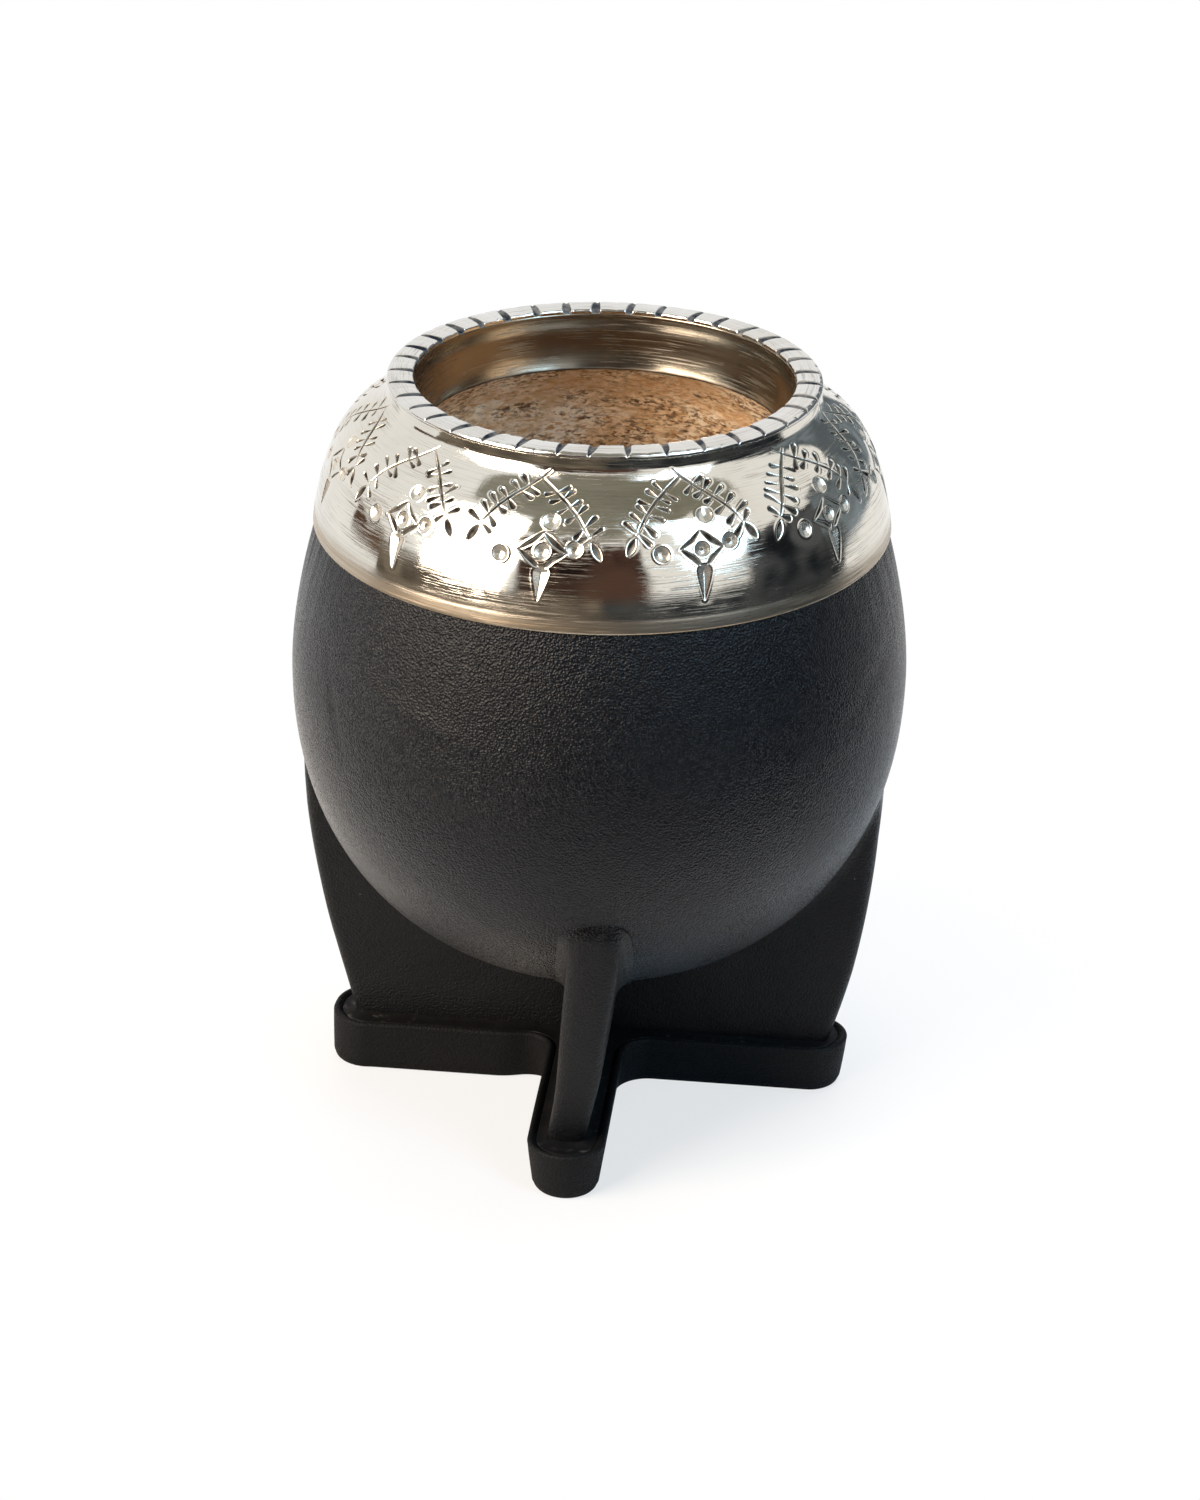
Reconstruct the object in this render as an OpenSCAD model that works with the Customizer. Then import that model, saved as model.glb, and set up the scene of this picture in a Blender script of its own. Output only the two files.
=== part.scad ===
// Mate gourd: a drinking cup made of a dried calabash, covered in black leather.
// A nickel silver ferrule closes the mouth, and four leather-covered fins carry
// the body on a cross-shaped foot.
// Millimetres, +Z up. The origin is the centre of the face that it stands on.

/* [Body] */
// Widest diameter over the leather
body_d = 93; // [84:0.5:102]
// Height from the lowest point of the body up to its widest point
body_low_h = 48.2; // [44:0.2:54]
// Height from the widest point to the tip that the upper curve aims at
body_crown_h = 72.3; // [68:0.2:80]
// Fullness of the lower half, where 2 is an ellipse
body_low_power = 2.22; // [2:0.02:2.5]
// Fullness of the upper half
body_top_power = 1.70; // [1.6:0.02:1.9]
// Thickness of the leather on the body
body_leather_t = 1.8; // [1.2:0.1:2.4]
// Thickness of the calabash wall
gourd_wall = 5; // [3:0.5:8]
// Clear height between the top of the foot and the lowest point of the body
body_lift = 14.35; // [11:0.05:20]

/* [Ferrule] */
// Height of the ferrule's lower edge above the widest point of the body
ferrule_rise = 23.25; // [20:0.25:27]
// Height of the domed shoulder
shoulder_h = 16.6; // [14:0.2:19]
// Squareness of the shoulder's side
shoulder_side_power = 2.56; // [2.2:0.02:3]
// Squareness of the shoulder's top
shoulder_top_power = 1.30; // [1.2:0.02:1.6]
// Thickness of the nickel silver sheet
sheet_t = 0.5; // [0.4:0.05:0.8]
// Height of the flat hem at the lower edge
hem_h = 2.0; // [1:0.1:3]
// How far the hem stands out from the sheet
hem_proud = 0.12; // [0.05:0.01:0.3]
// Length of leather tucked up under the ferrule
leather_tuck = 5; // [3:0.5:7]
// How far the waist between shoulder and rim lies inside the rim's outer edge
waist_inset = 0.8; // [0.3:0.05:1.2]
// Width of the hollow curve from the shoulder to the waist
waist_w = 2.6; // [2:0.1:3.5]
// Height of that hollow curve
waist_h = 2.4; // [1.8:0.1:3.5]

/* [Rim] */
// Diameter of the open mouth
mouth_d = 56.1; // [52:0.1:58]
// Width of the rim ring, from the mouth outwards
rim_w = 3.75; // [3.2:0.05:5]
// Height of the rim ring at its edges
rim_h = 3.5; // [2.6:0.1:4.5]
// How far the middle of the rim's top rises above its edges
rim_crown = 0.25; // [0.1:0.05:0.5]
// Number of cut notches round the rim
notch_count = 37; // [24:1:48]
// Width of a notch across the rim's top
notch_w = 1.3; // [0.8:0.1:2]
// Depth of a notch
notch_depth = 0.5; // [0.3:0.05:0.8]

/* [Throat] */
// Depth of the sleeve's lower edge below the rim's top
throat_depth = 9.0; // [7.5:0.1:11]
// How much the sleeve narrows in radius on its way down
throat_taper = 0.85; // [0.2:0.05:1.5]
// Wall of the sleeve
throat_t = 0.6; // [0.4:0.05:1]
// Length of straight calabash wall below the sleeve
throat_land = 3; // [2:0.5:5]

/* [Fins] */
// How far the fin's outermost point lies inside the widest radius of the body
fin_inset = 1.6; // [1:0.1:3]
// Height of that point below the widest point of the body
fin_crest_drop = 13.7; // [11:0.1:17]
// Radius of the fin's curved outer edge
fin_edge_r = 169; // [140:1:220]
// Distance from the fin's outermost point down to its upper end
fin_tip_drop = 4; // [3:0.2:6]
// Thickness of a fin over its leather
fin_t = 6.6; // [5.6:0.1:8]
// Thickness of the leather on a fin
fin_leather_t = 1.1; // [0.8:0.1:1.4]
// Length of folded leather between the board's upper end and the fin's
fin_tip_fold = 5; // [4:0.5:8]

/* [Foot] */
// Height of the foot
foot_h = 8.1; // [7:0.1:11]
// Width of an arm of the foot
arm_w = 11.8; // [10.5:0.1:14]
// Length of the side arms past the fin
toe_side = 2.8; // [2.6:0.1:6]
// Length of the front and back arms past the fin
toe_front = 4.8; // [2.6:0.1:6]
// Radius of the hollow corners between the arms
corner_r = 4.3; // [3:0.1:7]
// Thickness of the leather band round the foot
band_t = 1.4; // [1:0.1:1.8]
// How far the band stands above the top leather
band_lip = 0.4; // [0.2:0.05:1]
// Thickness of the leather on top of the foot
top_leather_t = 1.0; // [0.8:0.1:1.4]
// Thickness of the leather sole
sole_t = 1.2; // [0.8:0.1:1.6]
// Depth of the groove in the wooden cross that holds the fin boards
housing_depth = 2.0; // [1.2:0.1:2.6]

/* [Screws] */
// Distance of each screw from the centre of the foot
screw_u = 22; // [18:0.5:27]
// Diameter of the screw's shank
screw_d = 2.6; // [2:0.1:2.8]
// Diameter of the screw's head
screw_head_d = 5.2; // [4.4:0.1:6]
// Height of the countersunk head
screw_head_h = 1.6; // [1.2:0.1:2]
// Length of the screw
screw_len = 14; // [10:0.5:15]

/* [Fits] */
// Glued or soldered gap between pieces that touch
fit_gap = 0.1; // [0.05:0.01:0.15]
// Room between the calabash's cut mouth and the shoulder above it
mouth_headroom = 0.8; // [0.5:0.1:1.2]

/* [Hidden] */

round_fn = 144;
small_fn = 32;
curve_step = 5;
waist_step = 15;
rim_turn = 80;
overrun = 1;

leather_colour = [0.06, 0.06, 0.07];
edge_colour = [0.03, 0.03, 0.03];
wood_colour = [0.72, 0.55, 0.36];
gourd_colour = [0.66, 0.46, 0.28];
silver_colour = [0.80, 0.78, 0.74];
steel_colour = [0.55, 0.56, 0.58];

// Heights, from the table up
core_low_z = sole_t + fit_gap;
lip_z = foot_h - band_lip;
core_top_z = lip_z - top_leather_t - fit_gap;
housing_z = core_top_z - housing_depth;
body_low_z = foot_h + body_lift;
body_mid_z = body_low_z + body_low_h;
ferrule_z = body_mid_z + ferrule_rise;
waist_z = ferrule_z + shoulder_h;
rim_low_z = waist_z + waist_h + fit_gap;
rim_top_z = rim_low_z + rim_h;
throat_low_z = rim_top_z - throat_depth;
gourd_top_z = waist_z - sheet_t - mouth_headroom;

// Radii
body_r = body_d / 2;
mouth_r = mouth_d / 2;
rim_r = mouth_r + rim_w;
waist_r = rim_r - waist_inset;
shoulder_r = waist_r + waist_w;
throat_out_r = mouth_r + throat_t;
gourd_mouth_r = throat_out_r + fit_gap;

// The body's outer curve, drawn in by a thickness: a point of the lower half at an
// angle from the bottom, and the radius of the upper half at a height
function low_point(a, inset) = [
    (body_r - inset) * pow(sin(a), 2 / body_low_power),
    body_mid_z - (body_low_h - inset) * pow(cos(a), 2 / body_low_power)];
function top_radius(z, inset) = (body_r - inset)
    * pow(1 - pow((z - body_mid_z) / (body_crown_h - inset), body_top_power), 1 / body_top_power);
function top_points(inset, end_z) = [
    for (a = [curve_step : curve_step : 90])
        let (z = body_mid_z + (end_z - body_mid_z) * a / 90) [top_radius(z, inset), z]];
function body_points(inset, end_z) = concat(
    [for (a = [0 : curve_step : 90]) low_point(a, inset)],
    top_points(inset, end_z));

// The same points, kept clear of the ferrule's inner side where they run under it
function under_ferrule(points, clearance) = [for (p = points)
    p.y < ferrule_z ? p : [min(p.x, dome_radius(p.y) - sheet_t - clearance), p.y]];

// A path moved sideways by a distance, to the left of its own direction
function path_side(path, i) =
    let (step = path[min(i + 1, len(path) - 1)] - path[max(i - 1, 0)])
    [-step.y, step.x] / norm(step);
function shifted(path, distance) = [for (i = [0 : len(path) - 1])
    path[i] + distance * path_side(path, i)];
function reversed(path) = [for (i = [len(path) - 1 : -1 : 0]) path[i]];
function arc_points(centre, r, from_a, to_a) = [for (i = [0 : 4])
    let (a = from_a + (to_a - from_a) * i / 4) centre + r * [cos(a), sin(a)]];

// The ferrule's outer curve: the dome of the shoulder, then the hollow of the waist
ferrule_r = top_radius(ferrule_z, 0) + fit_gap + sheet_t;
function dome_radius(z) = shoulder_r + (ferrule_r - shoulder_r)
    * pow(1 - pow((z - ferrule_z) / shoulder_h, shoulder_top_power), 1 / shoulder_side_power);
dome_path = [for (a = [0 : curve_step : 90]) [
    shoulder_r + (ferrule_r - shoulder_r) * pow(cos(a), 2 / shoulder_side_power),
    ferrule_z + shoulder_h * pow(sin(a), 2 / shoulder_top_power)]];
waist_path = [for (a = [waist_step : waist_step : 90]) [
    shoulder_r - waist_w * sin(a), waist_z + waist_h * (1 - cos(a))]];

// The fin's outer edge is an arc about an axis across the fin
fin_crest_u = body_r - fin_inset;
fin_crest_z = body_mid_z - fin_crest_drop;
fin_tip_z = fin_crest_z - fin_tip_drop;
function fin_edge_u(z) = fin_crest_u - fin_edge_r + sqrt(pow(fin_edge_r, 2) - pow(fin_crest_z - z, 2));
board_t = fin_t - 2 * fin_leather_t - 2 * fit_gap;
board_edge_inset = fin_leather_t + fit_gap;
board_tip_z = fin_tip_z - fin_tip_fold;
board_low_z = housing_z + fit_gap;
lap_z = (board_low_z + body_low_z - fit_gap) / 2;

// Reach of the arms, and the foot's half width
reach_side = fin_edge_u(foot_h) + toe_side;
reach_front = fin_edge_u(foot_h) + toe_front;
arm_r = arm_w / 2;

// A solid of revolution of the body, grown by a gap, that cuts what fits against it
module body_cutter() {
    rotate_extrude($fn = round_fn)
        polygon(concat(body_points(-fit_gap, ferrule_z), [[0, ferrule_z]]));
}

// A flat disc with a rounded rim, standing on edge in the XZ plane: its rim is the
// curved outer edge of a fin, drawn in by inset
module fin_disc(inset, thickness) {
    rim_r = fin_edge_r - inset - thickness / 2;
    translate([fin_crest_u - fin_edge_r, 0, fin_crest_z])
        rotate([90, 0, 0])
            rotate_extrude($fn = 4 * round_fn) {
                translate([0, -thickness / 2])
                    square([rim_r, thickness]);
                translate([rim_r, 0])
                    intersection() {
                        circle(d = thickness, $fn = small_fn);
                        translate([0, -thickness / 2])
                            square([thickness, thickness]);
                    }
            }
}

// One fin's block of space along +X, from u to the edge, between two heights
module fin_space(from_u, low_z, high_z) {
    translate([from_u, -fin_t, low_z])
        cube([fin_crest_u + overrun - from_u, 2 * fin_t, high_z - low_z]);
}

// A board that spans two fins, with a pilot hole for a screw near each end
module fin_board() {
    difference() {
        for (spin = [0, 180])
            rotate(spin)
                intersection() {
                    fin_disc(board_edge_inset, board_t);
                    fin_space(0, board_low_z, board_tip_z);
                }
        body_cutter();
        for (side = [-1, 1])
            translate([side * screw_u, 0, board_low_z - overrun])
                cylinder(d = screw_d + 2 * fit_gap, h = core_low_z + screw_len + fit_gap
                    - board_low_z + overrun, $fn = small_fn);
    }
}

// The slot of the half lap, from one height to another
module lap_slot(low_z, high_z) {
    slot_w = board_t + 2 * fit_gap;
    translate([-slot_w / 2, -board_t, low_z])
        cube([slot_w, 2 * board_t, high_z - low_z]);
}

// The folded leather on one fin, along +X, from u outwards
module fin_leather(from_u) {
    color(leather_colour)
        difference() {
            intersection() {
                fin_disc(0, fin_t);
                fin_space(from_u, lip_z + fit_gap, fin_tip_z);
            }
            fin_disc(fin_leather_t, board_t + 2 * fit_gap);
            body_cutter();
        }
}

// The outline of the cross, drawn in by a distance
module cross_outline(inset) {
    w = arm_r - inset;
    for (spin = [0, 90]) {
        reach = (spin == 0 ? reach_side : reach_front) - arm_r;
        rotate(spin) {
            square([2 * reach, 2 * w], center = true);
            for (side = [-1, 1])
                translate([side * reach, 0])
                    circle(r = w, $fn = round_fn);
        }
    }
    for (spin = [0 : 90 : 270])
        rotate(spin)
            difference() {
                square(arm_r + corner_r);
                translate([arm_r + corner_r, arm_r + corner_r])
                    circle(r = corner_r + inset, $fn = round_fn);
            }
}

// The cross that the boards take up in the foot, with a gap all round
module board_cross(low_z, high_z) {
    width = board_t + 2 * fit_gap;
    length = 2 * (fin_edge_u(foot_h) - board_edge_inset + fit_gap);
    for (spin = [0, 90])
        rotate(spin)
            translate([-length / 2, -width / 2, low_z])
                cube([length, width, high_z - low_z]);
}

// A countersunk wood screw standing head down, grown by a gap
module screw(grow) {
    shank = screw_d / 2 + grow;
    tip_z = screw_len + grow;
    rotate_extrude($fn = small_fn)
        polygon([[0, -grow], [screw_head_d / 2 + grow, -grow], [shank, screw_head_h],
            [shank, tip_z - screw_d], [0, tip_z]]);
}

module each_screw() {
    for (spin = [0 : 90 : 270])
        rotate(spin)
            translate([screw_u, 0, core_low_z])
                children();
}

module gourd_shell() {
    outer = under_ferrule(body_points(body_leather_t + fit_gap, gourd_top_z), mouth_headroom);
    inner_inset = body_leather_t + fit_gap + gourd_wall;
    land_z = throat_low_z - throat_land;
    inner = [for (p = body_points(inner_inset, gourd_top_z))
        if (p.y < land_z - gourd_wall) p];
    color(gourd_colour)
        rotate_extrude($fn = round_fn)
            polygon(concat(outer, [[gourd_mouth_r, gourd_top_z], [gourd_mouth_r, land_z]],
                reversed(inner)));
}

module body_leather() {
    top_z = ferrule_z + leather_tuck;
    color(leather_colour)
        rotate_extrude($fn = round_fn)
            polygon(concat(under_ferrule(body_points(0, top_z), fit_gap),
                reversed(body_points(body_leather_t, top_z))));
}

module ferrule_shoulder() {
    path = concat(dome_path, waist_path);
    color(silver_colour)
        rotate_extrude($fn = round_fn) {
            polygon(concat(path, reversed(shifted(path, sheet_t))));
            translate([ferrule_r - sheet_t, ferrule_z])
                square([sheet_t + hem_proud, hem_h]);
        }
}

module ferrule_throat() {
    low_r = mouth_r - throat_taper;
    top_z = rim_low_z - fit_gap;
    color(silver_colour)
        rotate_extrude($fn = round_fn)
            polygon([[low_r, throat_low_z], [low_r + throat_t, throat_low_z],
                [throat_out_r, top_z], [mouth_r, top_z]]);
}

module ferrule_rim() {
    under_round = rim_w / 3;
    outer_round = rim_w / 3.5;
    inner_round = rim_w / 6;
    notch_r = (pow(notch_w / 2, 2) + pow(notch_depth, 2)) / (2 * notch_depth);
    crown_z = rim_top_z + rim_crown;
    color(silver_colour)
        difference() {
            rotate_extrude($fn = round_fn)
                polygon(concat(
                    [[mouth_r, rim_low_z]],
                    arc_points([rim_r - under_round, rim_low_z + under_round], under_round, -90, 0),
                    arc_points([rim_r - outer_round, rim_top_z - outer_round], outer_round, 0, rim_turn),
                    [[mouth_r + rim_w / 2, crown_z]],
                    arc_points([mouth_r + inner_round, rim_top_z - inner_round], inner_round, 180 - rim_turn, 180)));
            for (i = [0 : notch_count - 1])
                rotate(i * 360 / notch_count)
                    translate([mouth_r - overrun, 0, crown_z - notch_depth + notch_r])
                        rotate([0, 90, 0])
                            cylinder(r = notch_r, h = rim_w + 2 * overrun, $fn = small_fn);
        }
}

module fin_board_side() {
    color(wood_colour)
        difference() {
            fin_board();
            lap_slot(lap_z, body_mid_z);
        }
}

module fin_board_front() {
    color(wood_colour)
        rotate(90)
            difference() {
                fin_board();
                lap_slot(board_low_z - overrun, lap_z + fit_gap);
            }
}

module fin_leather_right() {
    fin_leather(board_t / 2 + fit_gap);
}

module fin_leather_left() {
    rotate(180) fin_leather(board_t / 2 + fit_gap);
}

module fin_leather_back() {
    rotate(90) fin_leather(fin_t / 2 + fit_gap);
}

module fin_leather_front() {
    rotate(270) fin_leather(fin_t / 2 + fit_gap);
}

module foot_core() {
    color(wood_colour)
        difference() {
            translate([0, 0, core_low_z])
                linear_extrude(core_top_z - core_low_z)
                    cross_outline(band_t + fit_gap);
            board_cross(housing_z, core_top_z + overrun);
            each_screw() screw(fit_gap);
        }
}

module foot_top_leather() {
    color(edge_colour)
        difference() {
            translate([0, 0, lip_z - top_leather_t])
                linear_extrude(top_leather_t)
                    cross_outline(band_t + fit_gap);
            board_cross(core_top_z, lip_z + overrun);
        }
}

module foot_edge_band() {
    color(leather_colour)
        linear_extrude(foot_h)
            difference() {
                cross_outline(0);
                cross_outline(band_t);
            }
}

module foot_sole() {
    color(leather_colour)
        linear_extrude(sole_t)
            cross_outline(band_t + fit_gap);
}

module foot_screws() {
    color(steel_colour)
        each_screw() screw(0);
}

gourd_shell();
body_leather();
ferrule_shoulder();
ferrule_throat();
ferrule_rim();
fin_board_side();
fin_board_front();
fin_leather_right();
fin_leather_back();
fin_leather_left();
fin_leather_front();
foot_core();
foot_top_leather();
foot_edge_band();
foot_sole();
foot_screws();
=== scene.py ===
# %% [markdown]
# # A mate gourd in black leather with a chased ferrule
# The cup is a dried calabash with leather stretched over it. A nickel silver ferrule
# closes its mouth, and four leather-covered fins on a cross-shaped foot carry it.
# The imported CAD model gives the main sizes and places. The cells below build the skins
# that the eye sees: each is a surface worked out with numpy on a grid of two
# parameters, and each gets a procedural material.

# %% Load the frame
import math

import bpy
import numpy as np
from mathutils import Matrix, Vector


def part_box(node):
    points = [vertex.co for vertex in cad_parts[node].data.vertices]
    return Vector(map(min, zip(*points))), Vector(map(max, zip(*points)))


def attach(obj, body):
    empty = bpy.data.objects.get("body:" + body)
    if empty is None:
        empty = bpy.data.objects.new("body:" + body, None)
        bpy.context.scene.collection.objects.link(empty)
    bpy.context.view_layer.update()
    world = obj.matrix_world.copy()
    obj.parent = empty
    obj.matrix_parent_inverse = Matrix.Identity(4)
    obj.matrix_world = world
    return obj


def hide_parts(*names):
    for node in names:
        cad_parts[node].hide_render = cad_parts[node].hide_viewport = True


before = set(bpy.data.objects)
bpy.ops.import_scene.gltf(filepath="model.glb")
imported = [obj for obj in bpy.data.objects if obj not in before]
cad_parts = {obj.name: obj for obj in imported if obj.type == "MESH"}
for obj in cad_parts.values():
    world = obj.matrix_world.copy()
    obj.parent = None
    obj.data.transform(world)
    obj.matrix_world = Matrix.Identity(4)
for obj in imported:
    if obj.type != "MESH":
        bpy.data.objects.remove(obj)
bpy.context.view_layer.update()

MM = 0.001
TAU = 2 * math.pi
print("nodes:", sorted(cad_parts))


# %% [markdown]
# ## Sizes
# The main heights and radii come from the boxes of the CAD nodes, so the scene follows
# the model if one of these changes there; the others are given here as numbers. All
# lengths below are millimetres in the cup's own frame: +Z up, the front fin towards -Y.
# The two powers of each curve say how full it is, where 2 would be an ellipse.

# %% Sizes read from the frame
def low(node):
    """Lowest corner of a CAD node, in millimetres."""
    return np.array(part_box(node)[0]) / MM


def high(node):
    """Highest corner of a CAD node, in millimetres."""
    return np.array(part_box(node)[1]) / MM


body_r = high("body_leather")[0]
body_low_h = 48.2
body_mid_z = low("body_leather")[2] + body_low_h
body_crown_h = 72.3
body_low_power = 2.22
body_top_power = 1.70

ferrule_z = low("ferrule_shoulder")[2]
shoulder_h = 16.6
shoulder_r = 33.6
rim_r = high("ferrule_rim")[0]
rim_low_z = low("ferrule_rim")[2]
rim_top_z = high("ferrule_rim")[2]
mouth_r = 28.05
throat_low_z = low("ferrule_throat")[2]

foot_h = high("foot_edge_band")[2]
reach_side, reach_front = high("foot_edge_band")[:2]
arm_r = 5.9
corner_r = 4.3
fin_low_z = low("fin_leather_front")[2]
fin_crest_u = body_r - 1.6
fin_crest_z = body_mid_z - 13.7
fin_edge_r = 169.0
print("body radius", round(body_r, 2), "height", round(rim_top_z, 2))


# %% [markdown]
# ## Short tools
# The same few steps come back in every shape: a value that rises between two places,
# a bell curve, an arc, a path cut into equal steps. Each is written once here.

# %% Curves and paths
def ramp(value, zero_at, one_at):
    """Rises in a straight line from 0 to 1 between two values, and is held outside them."""
    return np.clip((value - zero_at) / (one_at - zero_at), 0, 1)


def eased(t):
    """A ramp with soft ends: three times t squared less two times t cubed."""
    return t * t * (3 - 2 * t)


def hump(value, width):
    """A bell curve: e to the power of minus the squared share of the width."""
    return np.exp(-(value / width) ** 2)


def wrapped(angle, turn=TAU):
    """An angle brought between minus half a turn and half a turn."""
    return (angle + turn / 2) % turn - turn / 2


def arc(x, y, radius, start, end, count):
    """Points of an arc round (x, y), from one angle in degrees to another."""
    a = np.radians(np.linspace(start, end, count))
    return np.stack([x + radius * np.cos(a), y + radius * np.sin(a)], axis=1)


def path_lengths(path):
    """Length along a path up to each of its points."""
    steps = np.linalg.norm(np.diff(path, axis=0), axis=1)
    return np.concatenate([[0], np.cumsum(steps)])


def at_lengths(values, length, wanted):
    """Values given at some lengths, read at the wanted lengths by linear steps."""
    return np.stack([np.interp(wanted, length, column) for column in values.T], axis=1)


def resampled(path, count):
    """Points evenly spaced along a path."""
    length = path_lengths(path)
    return at_lengths(path, length, np.linspace(0, length[-1], count))


def path_normals(path):
    """Unit normals of a path in the (radius, height) plane, to the right of its direction."""
    d = np.gradient(path, axis=0)
    d /= np.linalg.norm(d, axis=1, keepdims=True)
    return np.stack([d[:, 1], -d[:, 0]], axis=1)


def circle_angles(count):
    """count angles round a full turn, without the last one, which is the first again."""
    return np.arange(count) * TAU / count


def turned(angles, radius, height):
    """Points of a turned surface: angles run along i, the profile's radius and height
    along j. Both may also change along i."""
    r, z, a = np.broadcast_arrays(radius, height, angles[:, None])
    return np.stack([r * np.cos(a), r * np.sin(a), z], axis=-1)


def spun(points, turn):
    """Points turned about the upright axis, so only their first two values change."""
    c, s = math.cos(turn), math.sin(turn)
    return np.concatenate([points[..., :2] @ [[c, s], [-s, c]], points[..., 2:]], axis=-1)


def smooth_noise(angle, along, scale, seed, octaves=3):
    """Soft bumps that repeat round the turn: a sum of waves round and along the surface
    with random phases, six to an octave, each octave twice as fine and half as high."""
    rng = np.random.default_rng(seed)
    total = 0.0
    for fine in 2.0 ** np.arange(octaves).repeat(6):
        turns = round(rng.uniform(0.5, 1.5) * body_r / scale * fine)
        rate = rng.uniform(-1.2, 1.2) * fine / scale
        total = total + np.sin(turns * angle + rate * along + rng.uniform(0, TAU)) / fine
    return total / 6


# %% [markdown]
# ## From a grid of points to a mesh
# Every skin here is a grid: i runs along one parameter and j along the other. Two
# neighbours in i and two in j make one four-sided face. Where the grid closes on
# itself, the last row is joined to the first by counting modulo the length, so there
# is no seam. Where a whole row shrinks to one point, at a pole, a single vertex and a
# fan of triangles close the hole.

# %% Grid to mesh
def put(name, data):
    """A new object in the scene for a mesh, a camera or a lamp."""
    obj = bpy.data.objects.new(name, data)
    bpy.context.scene.collection.objects.link(obj)
    return obj


def grid_mesh(name, points, close_i=False, close_j=False, start_pole=None, end_pole=None,
              zip_ends=False, cap_ends=False):
    """Makes an object from points[i, j] in millimetres. A face joins (i, j), (i+1, j),
    (i+1, j+1) and (i, j+1), so its normal is the direction of i crossed with that of j.
    A pole is one point that closes the first or the last row of j. zip_ends closes the
    first and last i of a skin whose j goes out and back: point j meets the j-th from last.
    cap_ends closes them with one flat many-sided face each."""
    ni, nj, _ = points.shape
    i = np.arange(ni if close_i else ni - 1)[:, None]
    j = np.arange(nj if close_j else nj - 1)[None, :]
    i2, j2 = (i + 1) % ni, (j + 1) % nj
    corners = [i * nj + j, i2 * nj + j, i2 * nj + j2, i * nj + j2]
    quads = np.stack(corners, axis=-1).reshape(-1, 4)
    verts = points.reshape(-1, 3)
    tris = np.zeros((0, 3), int)
    for pole, row, order in ((start_pole, 0, -1), (end_pole, nj - 1, 1)):
        if pole is not None:
            edge = [i[:, 0] * nj + row, i2[:, 0] * nj + row][::order]
            fan = np.stack([*edge, np.full(len(i), len(verts))], axis=-1)
            tris = np.concatenate([tris, fan])
            verts = np.vstack([verts, pole])
    if zip_ends:
        k = np.arange(nj // 2 - 1)
        end = (ni - 1) * nj
        first = np.stack([k, k + 1, nj - 2 - k, nj - 1 - k], axis=-1)
        quads = np.concatenate([quads, first, end + first[:, [1, 0, 3, 2]]])
    caps = [np.arange(nj), (ni - 1) * nj + np.arange(nj)[::-1]] if cap_ends else []
    loops = np.concatenate([quads.ravel(), tris.ravel(), *caps])
    sizes = np.repeat([4, 3, nj], [len(quads), len(tris), len(caps)])
    mesh = bpy.data.meshes.new(name)
    mesh.vertices.add(len(verts))
    mesh.vertices.foreach_set("co", (verts * MM).astype(np.float32).ravel())
    mesh.loops.add(len(loops))
    mesh.loops.foreach_set("vertex_index", loops.astype(np.int32))
    mesh.polygons.add(len(sizes))
    mesh.polygons.foreach_set("loop_start", (np.cumsum(sizes) - sizes).astype(np.int32))
    mesh.polygons.foreach_set("loop_total", sizes.astype(np.int32))
    mesh.polygons.foreach_set("use_smooth", np.ones(len(sizes), bool))
    mesh.update(calc_edges=True)
    mesh.validate()
    print(name, len(quads) * 2 + len(tris), "triangles")
    return put(name, mesh)


def add_attribute(obj, name, values):
    """Stores one number per vertex, such as a mask, for the material to read."""
    layer = obj.data.attributes.new(name, "FLOAT", "POINT")
    full = np.zeros(len(obj.data.vertices), np.float32)
    full[: values.size] = values.ravel()
    layer.data.foreach_set("value", full)


def turned_shell(name, angles, radius, height, path):
    """A closed turned shell whose path starts and ends on the axis."""
    return grid_mesh(name, turned(angles, radius, height), close_i=True,
                     start_pole=(0, 0, path[0, 1]), end_pole=(0, 0, path[-1, 1]))


# %% [markdown]
# ## The camera
# The photograph looks down on the cup by 26 degrees from about 60 cm away, through a
# longish lens. The cup stands turned by 5.5 degrees, so here the camera is turned
# round it instead and the cup keeps its axes. The picture is 1200 x 1500 pixels.

# %% Camera
camera_turn, camera_tilt, camera_pan, camera_roll = np.radians([5.5, 25.99, -0.04, 1.18])
camera_distance = 537.85
camera_height = 317.4
focal_px = 3900.0
picture_px = 1500.0
sensor_mm = 36.0

camera_data = bpy.data.cameras.new("camera")
camera = put("camera", camera_data)
bpy.context.scene.camera = camera
camera_data.sensor_fit = "AUTO"
camera_data.sensor_width = sensor_mm
camera_data.lens = focal_px / picture_px * sensor_mm
camera_data.clip_start = 0.01
camera_data.clip_end = 20
camera.matrix_world = (
    Matrix.Rotation(camera_turn, 4, "Z")
    @ Matrix.Translation(Vector((0, -camera_distance, camera_height)) * MM)
    @ Matrix.Rotation(camera_pan, 4, "Z")
    @ Matrix.Rotation(math.pi / 2 - camera_tilt, 4, "X")
    @ Matrix.Rotation(camera_roll, 4, "Z")
)
print("lens", round(camera_data.lens, 2), "mm")


# %% [markdown]
# ## Curves of the body and of the fins
# The body's outline is two quarter superellipses that meet at the widest point. The
# same functions give the leather, the place where a fin meets it, and the
# calabash inside, drawn in by a thickness.

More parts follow.
